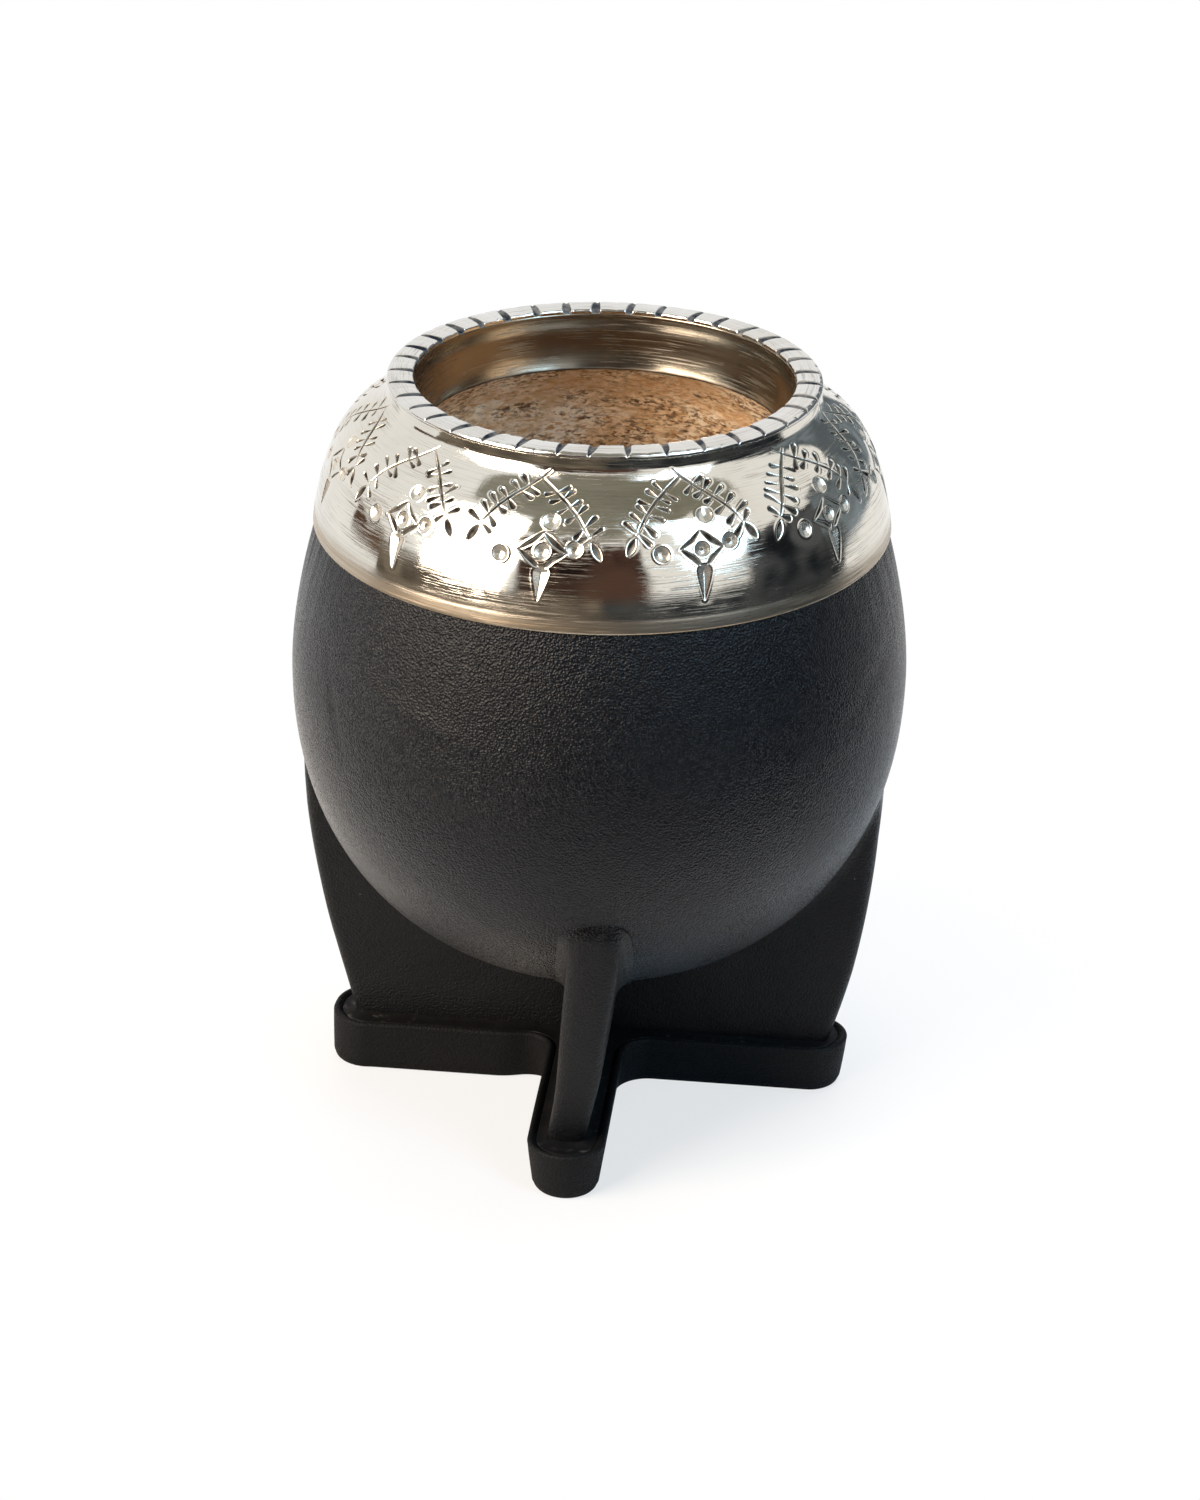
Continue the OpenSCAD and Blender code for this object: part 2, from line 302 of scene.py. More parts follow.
# %% Body and fin curves
def body_radius(z, inset=0.0):
    """Radius of the body at a height: R (1 - t^p)^(1/p), where t is the share of the way
    from the widest point to the tip of the upper curve, or to the bottom."""
    up = np.clip((z - body_mid_z) / (body_crown_h - inset), 0, 1)
    down = np.clip((body_mid_z - z) / (body_low_h - inset), 0, 1)
    top = (1 - up ** body_top_power) ** (1 / body_top_power)
    bottom = (1 - down ** body_low_power) ** (1 / body_low_power)
    return (body_r - inset) * np.where(z > body_mid_z, top, bottom)


def body_path(inset, end_z, low_count=64, top_count=40):
    """Path of the body's outline from its lowest point up to end_z."""
    a = np.linspace(0, math.pi / 2, low_count)
    r = (body_r - inset) * np.sin(a) ** (2 / body_low_power)
    z = body_mid_z - (body_low_h - inset) * np.cos(a) ** (2 / body_low_power)
    z2 = np.linspace(body_mid_z, end_z, top_count)[1:]
    return np.stack([np.append(r, body_radius(z2, inset)), np.append(z, z2)], axis=1)


def fin_edge(z):
    """How far a fin's outer edge lies from the axis: an arc of radius fin_edge_r."""
    return fin_crest_u - fin_edge_r + np.sqrt(fin_edge_r ** 2 - (fin_crest_z - z) ** 2)


print("fin edge at the foot", round(float(fin_edge(foot_h)), 2))


# %% [markdown]
# ## The chased ferrule
# A silversmith raises the shoulder from sheet and then cuts and punches the ornament
# into it. One could paint such marks with a bump texture, but polished metal shows
# every slope, so here they are real. Two tools are enough. A chisel leaves a groove
# with two straight walls, and a round punch leaves a dish. Every blow also sinks the
# sheet a little around it, which is why reflections wander near the marks.

# %% Marks of the tools
mark_margin = 2.6
# Cut depth at which the painted shade in a cut is full.
shade_depth = 0.12


def soft_ramp(e, rounding):
    """e where e is positive and 0 elsewhere, with the corner rounded off."""
    rounded = (e + np.sqrt(e * e + rounding ** 2)) / 2
    return rounded - rounding / 2 * np.exp(-np.abs(e) / rounding)


def near_points(sheet, points, margin):
    """The columns and rows of the sheet within margin of some points, and x and s there."""
    lo, hi = points.min(axis=0) - margin, points.max(axis=0) + margin
    x, s = sheet["x"], sheet["s"]
    middle = x[:, x.shape[1] // 2]
    columns = np.flatnonzero((middle > lo[0] - 0.5) & (middle < hi[0] + 0.5))
    rows = np.flatnonzero((s > lo[1]) & (s < hi[1]))
    place = np.ix_(columns, rows)
    return place, x[place], s[rows][None, :]


def raise_to(sheet, key, place, value):
    """Keeps the larger of what a field of the sheet holds and a new value."""
    sheet[key][place] = np.maximum(sheet[key][place], value)


def cut_stroke(sheet, points, half_width, slope, taper, polish=0.0):
    """Cuts one groove: its walls fall with a constant slope from the edge to the middle
    line, so it is deep where it is wide. taper gives the share of the half width along it,
    and polish how much less painted shade it gets."""
    points = np.asarray(points, float)
    place, x, s = near_points(sheet, points, half_width + mark_margin)
    length = path_lengths(points)
    share = length / length[-1]
    inside = np.full(x.shape, -9.0)
    for a, b, start, end in zip(points, points[1:], share, share[1:]):
        d = b - a
        t = np.clip(((x - a[0]) * d[0] + (s - a[1]) * d[1]) / (d @ d), 0, 1)
        away = np.hypot(x - a[0] - t * d[0], s - a[1] - t * d[1])
        inside = np.maximum(inside, half_width * taper(start + t * (end - start)) - away)
    raise_to(sheet, "cut", place, slope * soft_ramp(inside, 0.07))
    raise_to(sheet, "polish", place, polish * (inside > 0))
    raise_to(sheet, "burr", place, 0.03 * hump(inside + 0.18, 0.15))
    sheet["sink"][place] += 0.030 * hump(np.minimum(inside, 0), 1.2)


def punch_dish(sheet, centre, radius, depth=0.42):
    """Punches a dish: depth times 1 minus the squared share of the radius. It wipes out
    what was cut or raised under it before."""
    place, x, s = near_points(sheet, centre[None, :], radius + mark_margin)
    d = np.hypot(x - centre[0], s - centre[1])
    for key in ("cut", "burr"):
        sheet[key][place] *= d > radius
    raise_to(sheet, "cut", place, depth * soft_ramp(1 - (d / radius) ** 2, 0.08))
    raise_to(sheet, "polish", place, ramp(radius - d, 0, 0.25))
    raise_to(sheet, "burr", place, 0.06 * hump(d - radius - 0.15, 0.14))
    sheet["sink"][place] += 0.08 * hump(np.maximum(d - radius, 0), 1.3)


def leaf(t):
    """Share of the width along a cut that is pointed at both ends."""
    return 0.2 + 0.8 * np.sin(math.pi * np.clip(t, 0, 1)) ** 0.75


def wedge(t):
    """Share of the width along a cut that starts round and wide and ends in a point."""
    return 1 - 0.88 * np.clip(t, 0, 1) ** 1.3


# %% [markdown]
# The ornament is a band of eleven equal motifs, a common pattern on such cups: a
# lozenge round a punched dot, three more dots, a drop below, and over it two feathered
# twigs like a roof. They were struck by hand, so each motif is drawn again with small
# random shifts from a seeded generator. x runs round the shoulder and s up its surface.

# %% Ornament of the shoulder
motif_count = 11
first_motif = math.radians(-129.2)
lozenge_s = 11.5
lozenge_half_w = 3.3
lozenge_half_h = 2.75
middle_dot_r = 1.12
twig_top_s = 23.6
twig_foot_s = 11.8
twig_cuts = 6
outer_dots = (((-5.9, -0.6), 1.15), ((4.5, 0.4), 1.15), ((0.8, 4.5), 1.2))


def cut_twig(sheet, side, pick):
    """A feathered twig: a thin bowed stem from the roof's top down to one side, a broad
    leaf at its lower end, and wedge cuts from the outside in towards the stem."""
    top = np.array([-1.4 - side * pick(0.3, 1.1), twig_top_s + pick(-0.6, 0.8)])
    foot = np.array([-1.3 + side * pick(9.2, 10.0), twig_foot_s + pick(-0.5, 0.8)])
    unit = (foot - top) / np.linalg.norm(foot - top)
    across = np.array([-unit[1], unit[0]])
    bow = across * side * pick(0.4, 1.3)

    def stem(t):
        """The stem's point at the share t of its length."""
        return top + (foot - top) * t + bow * math.sin(math.pi * t)

    cut_stroke(sheet, [stem(t) for t in (0, 0.2, 0.4, 0.6, 0.84)], 0.26, 1.0, leaf)
    cut_stroke(sheet, [stem(1.06), stem(0.88)], 0.56, 0.62, leaf)
    for t in 0.24 + 0.60 * np.arange(twig_cuts) / (twig_cuts - 1):
        t = t + pick(-0.02, 0.02)
        for hand in (-across, across):
            outer = stem(t) + hand * pick(1.3, 2.3) - unit * pick(-0.5, 0.6)
            cut_stroke(sheet, [outer, stem(t) + hand * 0.05], pick(0.34, 0.50),
                       pick(0.85, 1.1), wedge)


def cut_motif(sheet, pick):
    """One motif round x = 0: two twigs, lozenge, drop and dots."""
    for side in (-1, 1):
        cut_twig(sheet, side, pick)
    centre = np.array([pick(-0.3, 0.3), lozenge_s + pick(-0.3, 0.3)])
    wide, tall = lozenge_half_w + pick(-0.25, 0.35), lozenge_half_h + pick(-0.2, 0.2)
    corners = np.array([[wide, 0], [0, tall], [-wide, 0], [0, -tall]]) + centre
    for a, b in zip(corners, np.roll(corners, -1, axis=0)):
        middle = (a + b) / 2 + (centre - (a + b) / 2) * pick(0.05, 0.16)
        a, b = a + pick(-0.2, 0.2, 2), b + pick(-0.2, 0.2, 2)
        cut_stroke(sheet, [a, middle, b], pick(0.26, 0.46), 0.75, leaf)
    drop = centre - [0, tall + 0.3]
    cut_stroke(sheet, [drop, drop + [pick(-0.3, 0.3), pick(-4.3, -3.7)]], 1.15, 0.40, wedge,
               polish=1.0)
    punch_dish(sheet, centre, middle_dot_r)
    for place, radius in outer_dots:
        punch_dish(sheet, centre + place + pick(-0.4, 0.4, 2), radius)


def ornament(angle, s, radius):
    """Depth of the cuts, height of the burrs less the sinking, and a mask of painted shade
    in the cuts, over the whole shoulder. Dishes and drops were struck with a polished punch
    and get less of the painted shade."""
    pick = np.random.default_rng(11).uniform
    fields = {key: np.zeros((len(angle), len(s))) for key in ("cut", "sink", "burr", "polish")}
    half = 1.3 * math.pi / motif_count
    for m in range(motif_count):
        offset = wrapped(angle - first_motif - m * TAU / motif_count)
        columns = np.flatnonzero(np.abs(offset) < half)
        columns = columns[np.argsort(offset[columns])]
        sheet = {key: value[columns] for key, value in fields.items()}
        cut_motif(sheet | {"x": offset[columns][:, None] * radius, "s": s}, pick)
        for key, value in sheet.items():
            fields[key][columns] = value
    cut = fields["cut"]
    # Painted shade: the deeper the cut, the darker its colour, less so where a polished punch
    # struck.
    cut_shade = ramp(cut, 0, shade_depth) * (1 - 0.72 * fields["polish"])
    return cut, fields["burr"] * (cut < 0.03) - fields["sink"], cut_shade


# %% [markdown]
# Such fine cuts need a fine grid, a point every 0.10 to 0.16 mm. As one mesh that is
# too heavy for other programs, so the shoulder is stored as four pieces that meet
# between motifs. Their normals come from the whole surface, so the joints don't show.
# The smith drew the sheet up into a short neck under the rim. A cubic curve with an
# upright end gives that hollow, because it leaves the dome without any kink.

# %% Shape of the shoulder
motif_columns = 176
sectors = ((0, 3), (3, 6), (6, 9), (9, 11))
hem_h = 2.0
sheet_t = 0.5
ferrule_r = float(body_radius(ferrule_z)) + 0.1 + sheet_t
shoulder_side_power = 2.56
shoulder_top_power = 1.30
neck_start_r = 38.0
neck_r = 31.45
neck_low_z = rim_top_z - 2.2
neck_top_z = rim_top_z - 0.75


def shoulder_path():
    """The ferrule's outer path: superellipse dome, cubic hollow and upright neck."""
    a = np.linspace(0, math.pi / 2, 400)
    r = shoulder_r + (ferrule_r - shoulder_r) * np.cos(a) ** (2 / shoulder_side_power)
    z = ferrule_z + shoulder_h * np.sin(a) ** (2 / shoulder_top_power)
    dome = np.stack([r, z], axis=1)[r > neck_start_r]
    leaving = (dome[-1] - dome[-2]) / np.linalg.norm(dome[-1] - dome[-2])
    start, end = dome[-1], np.array([neck_r, neck_low_z])
    t = np.linspace(0, 1, 120)[1:, None]
    neck = ((1 - t) ** 3 * start + 3 * (1 - t) ** 2 * t * (start + 3.2 * leaving)
            + 3 * (1 - t) * t ** 2 * (end - [0, 2.7]) + t ** 3 * end)
    return resampled(np.vstack([dome, neck, [[neck_r, neck_top_z]]]), 2400)


def hem_relief(s):
    """The hem: a flat strip with a rounded lower edge and a groove along its top."""
    strip = 0.01 * ramp(s, hem_h + 0.15, hem_h - 0.15) - 0.15 * ramp(s, 0.25, 0) ** 2
    return strip - 0.03 * hump(s - hem_h - 0.1, 0.16)


def make_shoulder():
    """The shoulder: columns round, rows along the path, moved along the normal by the
    ornament, the hem and the hammered unevenness, in sectors of two or three motifs."""
    path = shoulder_path()
    normal = path_normals(path)
    length = path_lengths(path)
    full = length[-1]
    s = np.concatenate([np.linspace(0, 0.35, 3), np.linspace(0.6, hem_h + 1.2, 13),
                        np.linspace(hem_h + 1.4, full, 148)])
    r, z = at_lengths(path, length, s).T
    out_r, out_z = at_lengths(normal, length, s).T
    angle = first_motif - math.pi / motif_count + circle_angles(motif_columns * motif_count)
    a = angle[:, None]
    cut, wander, cut_shade = ornament(angle, s, r)
    fade = ramp(s, 3.4, 4.2) * ramp(s, full - 0.3, full - 0.9)
    uneven = 0.034 * smooth_noise(a, s, 13.0, 5) + 0.008 * smooth_noise(a, s, 4.0, 6)
    lift = (wander - cut) * fade + hem_relief(s) + uneven
    outer = turned(angle, r + lift * out_r, z + lift * out_z)
    round_about = np.roll(outer, -1, axis=0) - np.roll(outer, 1, axis=0)
    up = np.cross(round_about, np.gradient(outer, axis=1))
    up /= np.linalg.norm(up, axis=-1, keepdims=True)
    back = at_lengths(path - sheet_t * normal, length, np.linspace(full, 0.0, 18))
    inner = turned(angle, *back.T)
    points = np.concatenate([outer, inner], axis=1)
    normals = np.concatenate([up, np.broadcast_to(-up[:, :1], inner.shape)], axis=1)
    # The painted shade of the cuts, faded out at the hem and the neck, for the material.
    mask = np.concatenate([cut_shade * fade, np.zeros(inner.shape[:2])], axis=1)
    pieces = []
    for k, (first, last) in enumerate(sectors):
        columns = np.arange(first * motif_columns, last * motif_columns + 1) % len(angle)
        piece = grid_mesh(f"ferrule_shoulder_{k + 1}", points[columns], close_j=True,
                          cap_ends=True)
        own_normals = normals[columns].reshape(-1, 3).tolist()
        piece.data.normals_split_custom_set_from_vertices(own_normals)
        add_attribute(piece, "chased", mask[columns])
        pieces.append(piece)
    return pieces


# %% [markdown]
# ## Rim and throat
# The rim is a thick ring. The smith cut a row of notches across its flat top with a
# graver, by eye, so their spacing wanders. A graver held at a slant leaves one steep
# wall and one long gentle one, and that is the notch's formula here.

# %% Shape of the rim
notch_count = 37
notch_depth = 0.40
notch_half_w = 0.63
steep_side, gentle_side = 0.62, 1.38
rim_columns = notch_count * 44
ring_r = rim_r + 0.2
flat_z = rim_top_z - 0.2


def rim_section():
    """The ring's section as a closed path, anticlockwise from the underside: a rounded
    outer lip, a fine crease, the domed flat top, the inner rounding and the inner face."""
    lip = arc(ring_r - 0.58, flat_z - 0.62, 0.58, -80, 62, 16)
    glue_and_shade = [[ring_r - 0.38, flat_z - 0.10], [ring_r - 0.44, flat_z - 0.06]]
    t = np.linspace(0, 1, 20)
    flat = np.stack([(ring_r - 0.52) * (1 - t) + (mouth_r + 0.4) * t,
                     flat_z - 0.03 + 0.13 * np.sin(math.pi * t) ** 0.8], axis=1)
    inner_round = arc(mouth_r + 0.36, flat_z - 0.40, 0.36, 90, 180, 8)
    under = [[mouth_r, flat_z - 1.0], [mouth_r + 0.2, flat_z - 1.5],
             [neck_r - 0.5, flat_z - 1.5], [neck_r - 0.45, flat_z - 1.22]]
    return np.vstack([lip, glue_and_shade, flat, inner_round, under])


def make_rim():
    """The ring with its notches: each point near the top is lowered by the notch it is
    closest to. Seen from above a notch is a leaf, wide inside and pointed outside. Its
    one wall is steep and the other gentle, and a mask of painted shade fills it."""
    pick = np.random.default_rng(4).uniform
    r, z = rim_section().T
    across = ramp(r, mouth_r, ring_r)
    angle = circle_angles(rim_columns)
    pitch = TAU / notch_count
    shift = pick(-0.10, 0.10, notch_count) * pitch
    wide = pick(0.85, 1.15, notch_count)
    slant = pick(-0.3, 0.3, notch_count)
    bend = pick(-0.3, 0.3, notch_count)
    k = np.round(angle[:, None] / pitch).astype(int) % notch_count
    offset = wrapped(angle[:, None] - k * pitch - shift[k])
    near = offset * r + (slant[k] + 0.3) * (across - 0.5) + bend[k] * (across - 0.5) ** 2
    half = wide[k] * notch_half_w * (1.15 - 0.3 * across) * (1.001 - across ** 5) ** 0.6
    share = np.minimum(1 + near / (steep_side * half), 1 - near / (gentle_side * half))
    share = np.maximum(share, 0)
    reach = ramp(z, flat_z - 0.75, flat_z) ** 0.6
    pillow = 0.05 * (offset / pitch * 2) ** 4
    drop = notch_depth * share ** 0.8 * (1 - 0.45 * across ** 2) + pillow
    scored_edge = 0.05 * np.exp(-(np.abs(near) - half) ** 2 / 0.03)
    pull = 0.12 * share * (across < 0.06) - 0.05 * share * (across > 0.9)
    points = turned(angle, r + pull * reach, z - (drop + scored_edge) * reach)
    obj = grid_mesh("ferrule_rim_ring", points, close_i=True, close_j=True)
    # Painted shade in the notches, stored for the material.
    add_attribute(obj, "chased", np.minimum(3.5 * share, 1) * reach)
    return obj


# %% Shape of the throat
throat_columns = 360


def make_throat():
    """The sleeve inside the mouth: a thin turned wall that starts behind the rim's inner
    face, leans inwards more and more on its way down and ends in a worn edge. The radius
    is the sum of the small steps that the lean gives."""
    top, bottom = rim_top_z - 0.75, throat_low_z - 0.25
    z = np.linspace(top, bottom, 70)
    t = (top - z) / (top - bottom)
    lean = np.radians(2 + 9 * hump(t - 0.22, 0.1) + 19 * t ** 3)
    steps = np.tan(lean[1:]) * -np.diff(z)
    r = mouth_r - 0.03 - np.concatenate([[0], np.cumsum(steps)])
    back_z = np.linspace(bottom, rim_low_z - 0.1, 8)
    back_r = np.interp(back_z, (bottom, rim_low_z - 2), (r[-1] + 0.35, mouth_r + 0.5))
    r = r + 0.25 * ramp(t, 0.03, 0) + 0.08 * ramp(t, 0.985, 1)
    section_r = np.concatenate([r, back_r, [mouth_r + 0.3]])
    section_z = np.concatenate([z, back_z, [top - 0.3]])
    angle = circle_angles(throat_columns)
    worn = 0.09 * smooth_noise(angle[:, None], 0.0, 3.0, 21, 4)
    uneven_z = section_z + worn * (section_z < bottom + 0.25)
    return grid_mesh("ferrule_throat_sleeve", turned(angle, section_r, uneven_z),
                     close_i=True, close_j=True)


# %% [markdown]
# ## The calabash and its leather
# The calabash shows only inside the mouth: a dry, fibrous wall that is never quite
# round. The leather cover was stretched over it wet, so it is smooth, with faint pull
# creases under the ferrule. Both are closed turned shells: the path starts at the
# lowest point outside, goes up, over the edge, and down again inside.

# %% Shape of the calabash
gourd_inset = 1.9
gourd_wall = 5.0
gourd_top_z = ferrule_z + shoulder_h - 1.3
gourd_mouth_r = mouth_r + 0.7
gourd_columns = 300


def make_gourd():
    """Outer path up, cut mouth, straight land behind the sleeve, and the inner path down."""
    outer = resampled(body_path(gourd_inset, gourd_top_z), 40)
    inner = body_path(gourd_inset + gourd_wall, throat_low_z - 6.0)
    land = [[gourd_mouth_r, throat_low_z - 1.0]]
    inside = resampled(np.vstack([land, inner[::-1]]), 110)
    path = np.vstack([outer, [[gourd_mouth_r, gourd_top_z]], inside])
    r, z = path[1:-1].T
    angle = circle_angles(gourd_columns)
    a = angle[:, None]
    rough = 0.16 * smooth_noise(a, z, 9.0, 31, 4) + 0.10 * smooth_noise(a, z * 2.2, 3.0, 32, 3)
    is_inner = np.arange(len(r)) > len(outer)
    rough = rough * is_inner * np.clip((gourd_mouth_r + 12 - r) / 12, 0.4, 1)
    return turned_shell("gourd_wall", angle, r + rough, z, path)


# %% Shape of the body leather
body_leather_t = 1.8
leather_columns = 400
# Direction in degrees, spread and depth of each fan of upright creases.
crease_fans = ((-168, 26, 0.16), (-6, 22, 0.15), (70, 40, 0.10), (150, 24, 0.08))
# Direction, height, slope, depth, reach and width of each long crease.
long_creases = ((-121, 78.4, 0.17, -0.26, 13, 1.7), (-141, 73, 1.8, 0.16, 3, 2.2),
                (-133, 84, 0.5, 0.10, 8, 1.2), (-126, 71, 0.3, 0.06, 9, 1.5),
                (-24, 78, -0.4, 0.08, 9, 1.6))


def pull_creases(angle, z):
    """Creases of the stretched leather: fine upright ones that fan out below the ferrule
    at a few places, and some longer slanting ones on the upper left of the belly."""
    below = ferrule_z - z
    fade = np.exp(-np.maximum(below, 0) / 7.0)
    total = 0.0
    for centre, spread, depth in crease_fans:
        away = wrapped(np.degrees(angle) - centre, 360)
        lean = away * (1 + below * 0.012)
        wave = np.sin(lean * 1.35 + 0.8 * np.sin(lean * 0.37))
        wave = wave * np.sin(lean * 0.53 + below * 0.05)
        total = total + depth * hump(away, spread) * fade * wave
    for centre, height, slope, depth, reach, wide in long_creases:
        away = wrapped(np.degrees(angle) - centre, 360)
        total = total - depth * hump(z - height + slope * away, wide) * hump(away, reach)
    return total


def make_body_leather():
    """The cover: the body's path outside, moved by soft unevenness and by the creases,
    turned in under the ferrule, and back down along the inside of the leather."""
    top_z = ferrule_z + 5
    outer = resampled(body_path(0, top_z, 120, 80), 150)
    inner = resampled(body_path(body_leather_t, top_z), 16)[::-1]
    path = np.vstack([outer, inner])
    r, z = path[1:-1].T
    angle = circle_angles(leather_columns)
    seen_z = z[: len(outer) - 1]
    dent = 0.05 * smooth_noise(angle[:, None], seen_z, 22.0, 41, 2)
    dent = dent + pull_creases(angle[:, None], seen_z)
    dent = dent * ramp(seen_z, ferrule_z + 0.2, ferrule_z - 0.6) - 0.05
    unmoved = (0, len(inner) - 1)
    dent = np.pad(dent, ((0, 0), unmoved))
    out_r, out_z = np.pad(path_normals(outer)[1:], (unmoved, (0, 0))).T
    return turned_shell("body_leather_cover", angle, r + dent * out_r, z + dent * out_z, path)


# %% [markdown]
# ## The fins
# Each fin is a board with leather folded round its edge and glued up against the body,
# where the skin turns into the body in a hollow curve. A box would miss that curve.
# Here a fin is a fan of upright columns: they start on the foot, spread with the curved
# edge, and each ends where it dips just under the body's surface. The place where
# it ends has no closed formula, so all columns look for it at once by halving.

# %% Shape of a fin
fin_tip_z = fin_crest_z - 4.0
front_bow = 4.1
front_draw = 2.2
fin_round = 2.3
fin_inner_half = 2.2
fin_columns = 26
fin_rows = 120
fin_heights = (7.0, 15.0, 33.0, 42.5, 49.0, 54.0, 57.5)
fin_halves = (2.95, 3.03, 3.7, 3.95, 3.9, 3.1, 1.8)


def bow(u, z):
    """How far the front fin leans to the right at a height. The cup's maker glued it on a
    little askew: it stands true on the foot and bends over towards the body."""
    t = ramp(z, foot_h, foot_h + 40)
    return front_bow * (1 - (1 - t) ** 1.6) * ramp(u, 5, 29)


def draw(z):
    """How far the front fin's edge lies closer to the axis than the other fins' edges."""
    return front_draw * eased(ramp(z, 22, 44)) + 0.9 * np.clip((z - 42) / 6, 0, 2) ** 2


def fin_half_width(z):
    """Half the thickness of a fin at a height: it swells upwards and closes at the tip."""
    return np.interp(z, fin_heights, fin_halves)


def body_distance(u, v, z):
    """About how far a point is from the body's surface, positive outside: the curve's
    own formula minus one, over the length of its slope."""
    p = body_low_power
    a = np.maximum(np.hypot(u, v) / body_r, 1e-6)
    b = np.maximum((body_mid_z - z) / body_low_h, 1e-6)
    g = (a ** p + b ** p) ** (1 / p)
    slope = g ** (1 - p) * np.hypot(a ** (p - 1) / body_r, b ** (p - 1) / body_low_h)
    return (g - 1) / slope


def hollow(d, rho):
    """Width that a hollow corner of radius rho adds at distance d from the wall."""
    share = np.clip((rho - d) / rho, 0, 0.985)
    return rho * (1 - np.sqrt(1 - share ** 2))


def fin_section():
    """The fixed part of the section: for each column, its share of the way out, its place
    across from -1 to 1, and how far round the edge it is."""
    cheek = np.linspace(0, 1, fin_columns)[:-1, None]
    phi = np.linspace(0, math.pi, fin_columns + 1)[:, None]
    power = 2 / 3
    nose = -np.sign(np.cos(phi)) * np.abs(np.cos(phi)) ** power
    out = np.vstack([cheek, np.ones_like(phi), cheek[::-1]])
    across = np.vstack([-np.ones_like(cheek), nose, np.ones_like(cheek)])
    return out, across, np.vstack([0 * cheek, np.sin(phi) ** power, 0 * cheek])


def fin_side(from_u, half, edge_inset, flare, sink, askew, push):
    """All points (u, v, z) of one skin of the fin, from the foot up to where it is sunk in
    the body. u runs from from_u to the rounded edge, and v is the half width, plus flare
    times the hollow corner where the body is near."""
    out, across, round_out = fin_section()

    def place(z):
        """Place (u, v) of every column at its height z."""
        edge = (fin_edge(z) - edge_inset - 1.5 * ramp(z, fin_tip_z - 1, fin_tip_z + 4) ** 2
                - askew * draw(z) + push * ramp(z, 20, 44))
        u = from_u + out * (edge - fin_round - from_u) + fin_round * round_out
        arch = np.sqrt(1 - askew * 0.9 * ramp(z, 43.5, 49) ** 2)
        v = across * half(z) * arch + askew * bow(u, z)
        rho = np.interp(z, [36, 48], [2.6, 1.3])
        return u, v + flare * across * hollow(body_distance(u, v, z), rho)

    lo, hi = np.full(out.shape, foot_h), np.full(out.shape, fin_crest_z + 2.0)
    for _ in range(30):
        mid = (lo + hi) / 2
        outside = body_distance(*place(mid), mid) > -sink
        lo, hi = np.where(outside, mid, lo), np.where(outside, hi, mid)
    t = 1 - (1 - np.linspace(0, 1, fin_rows)) ** 1.7
    z = fin_low_z - 0.5 + (lo - fin_low_z + 0.5) * t
    return np.stack([*place(z), z], axis=-1)


def make_fin(name, turn, from_u, seed, askew=0, push=0.0):
    """One fin's leather: outer skin up and inner skin down, closed at both roots. askew is
    1 for the front fin, which leans, and push moves the edge out, because no two fins are
    cut alike."""
    pick = np.random.default_rng(seed).uniform
    outer = fin_side(from_u, fin_half_width, 0.0, 1.0, 0.6, askew, push)
    inner = fin_side(from_u, lambda z: fin_inner_half, 1.15, 0.0, 1.1, askew, push)
    u, v, z = np.moveaxis(outer, -1, 0)
    sway = 0.10 * np.sin(z / 6.1 + pick(0, 6)) + 0.06 * np.sin(z / 2.9 + u / 9 + pick(0, 6))
    swell = 0.05 * np.sin(u / 3.3 + z / 4.1 + pick(0, 6)) * np.sign(fin_section()[1])
    free = ramp(body_distance(u, v, z), 0, 3) * ramp(z, fin_low_z, fin_low_z + 6)
    v += (sway + swell) * free
    points = spun(np.concatenate([outer, inner[:, ::-1]], axis=1), turn)
    obj = grid_mesh(name, points, close_j=True, zip_ends=True)
    # Near the body and on the front fin's top: marked for glue at the joint and painted shade
    # in the corner.
    near = np.maximum(ramp(body_distance(u, v, z), 4, 0), askew * ramp(z, 43, 45))
    add_attribute(obj, "glue_and_shade", np.pad(near, ((0, 0), (0, fin_rows))))
    return obj


def make_board():
    """The board inside the front and back fins, bent as the front skin is. Columns run
    from the back edge to the front edge. Each is a loop: up one face and down the other,
    from the groove in the foot or from the curved edge to the body's underside."""
    thick, reach, top_z = high("fin_board_front")
    inset = fin_edge(top_z) - reach
    u = np.linspace(-1, 1, 121)[:, None] * (reach - 0.6)
    across = np.abs(u) + inset + fin_edge_r - fin_crest_u
    drop = np.sqrt(np.clip(fin_edge_r ** 2 - across ** 2, 0, None))
    start = np.maximum(low("fin_board_front")[2], fin_crest_z - drop)
    under = (1 - (np.abs(u) / body_r) ** body_low_power) ** (1 / body_low_power)
    end = body_mid_z - body_low_h * under - 0.1
    end = np.maximum(np.minimum(end, top_z), start + 0.2)
    t = np.concatenate([np.linspace(0, 1, 24), np.linspace(1, 0, 24)])
    side = np.repeat([1.0, -1.0], 24) * (thick - 0.05)
    z = start + (end - start) * t
    edge = fin_edge(z) - inset
    along = u * np.where(u > 0, (edge - draw(z)) / edge, 1.0)
    points = np.stack([side + bow(along, z), -along, z], axis=-1)
    return grid_mesh("fin_board_askew", points, close_j=True, cap_ends=True)


# %% [markdown]
# ## The foot
# The foot is a wooden cross with a leather band round its edge. The band leans in
# towards the ground, and its rims are round from burnishing. The path of the cross is
# arcs and straight lines with the same number of points at every inset, so rows at
# different insets join into one grid without twisting.

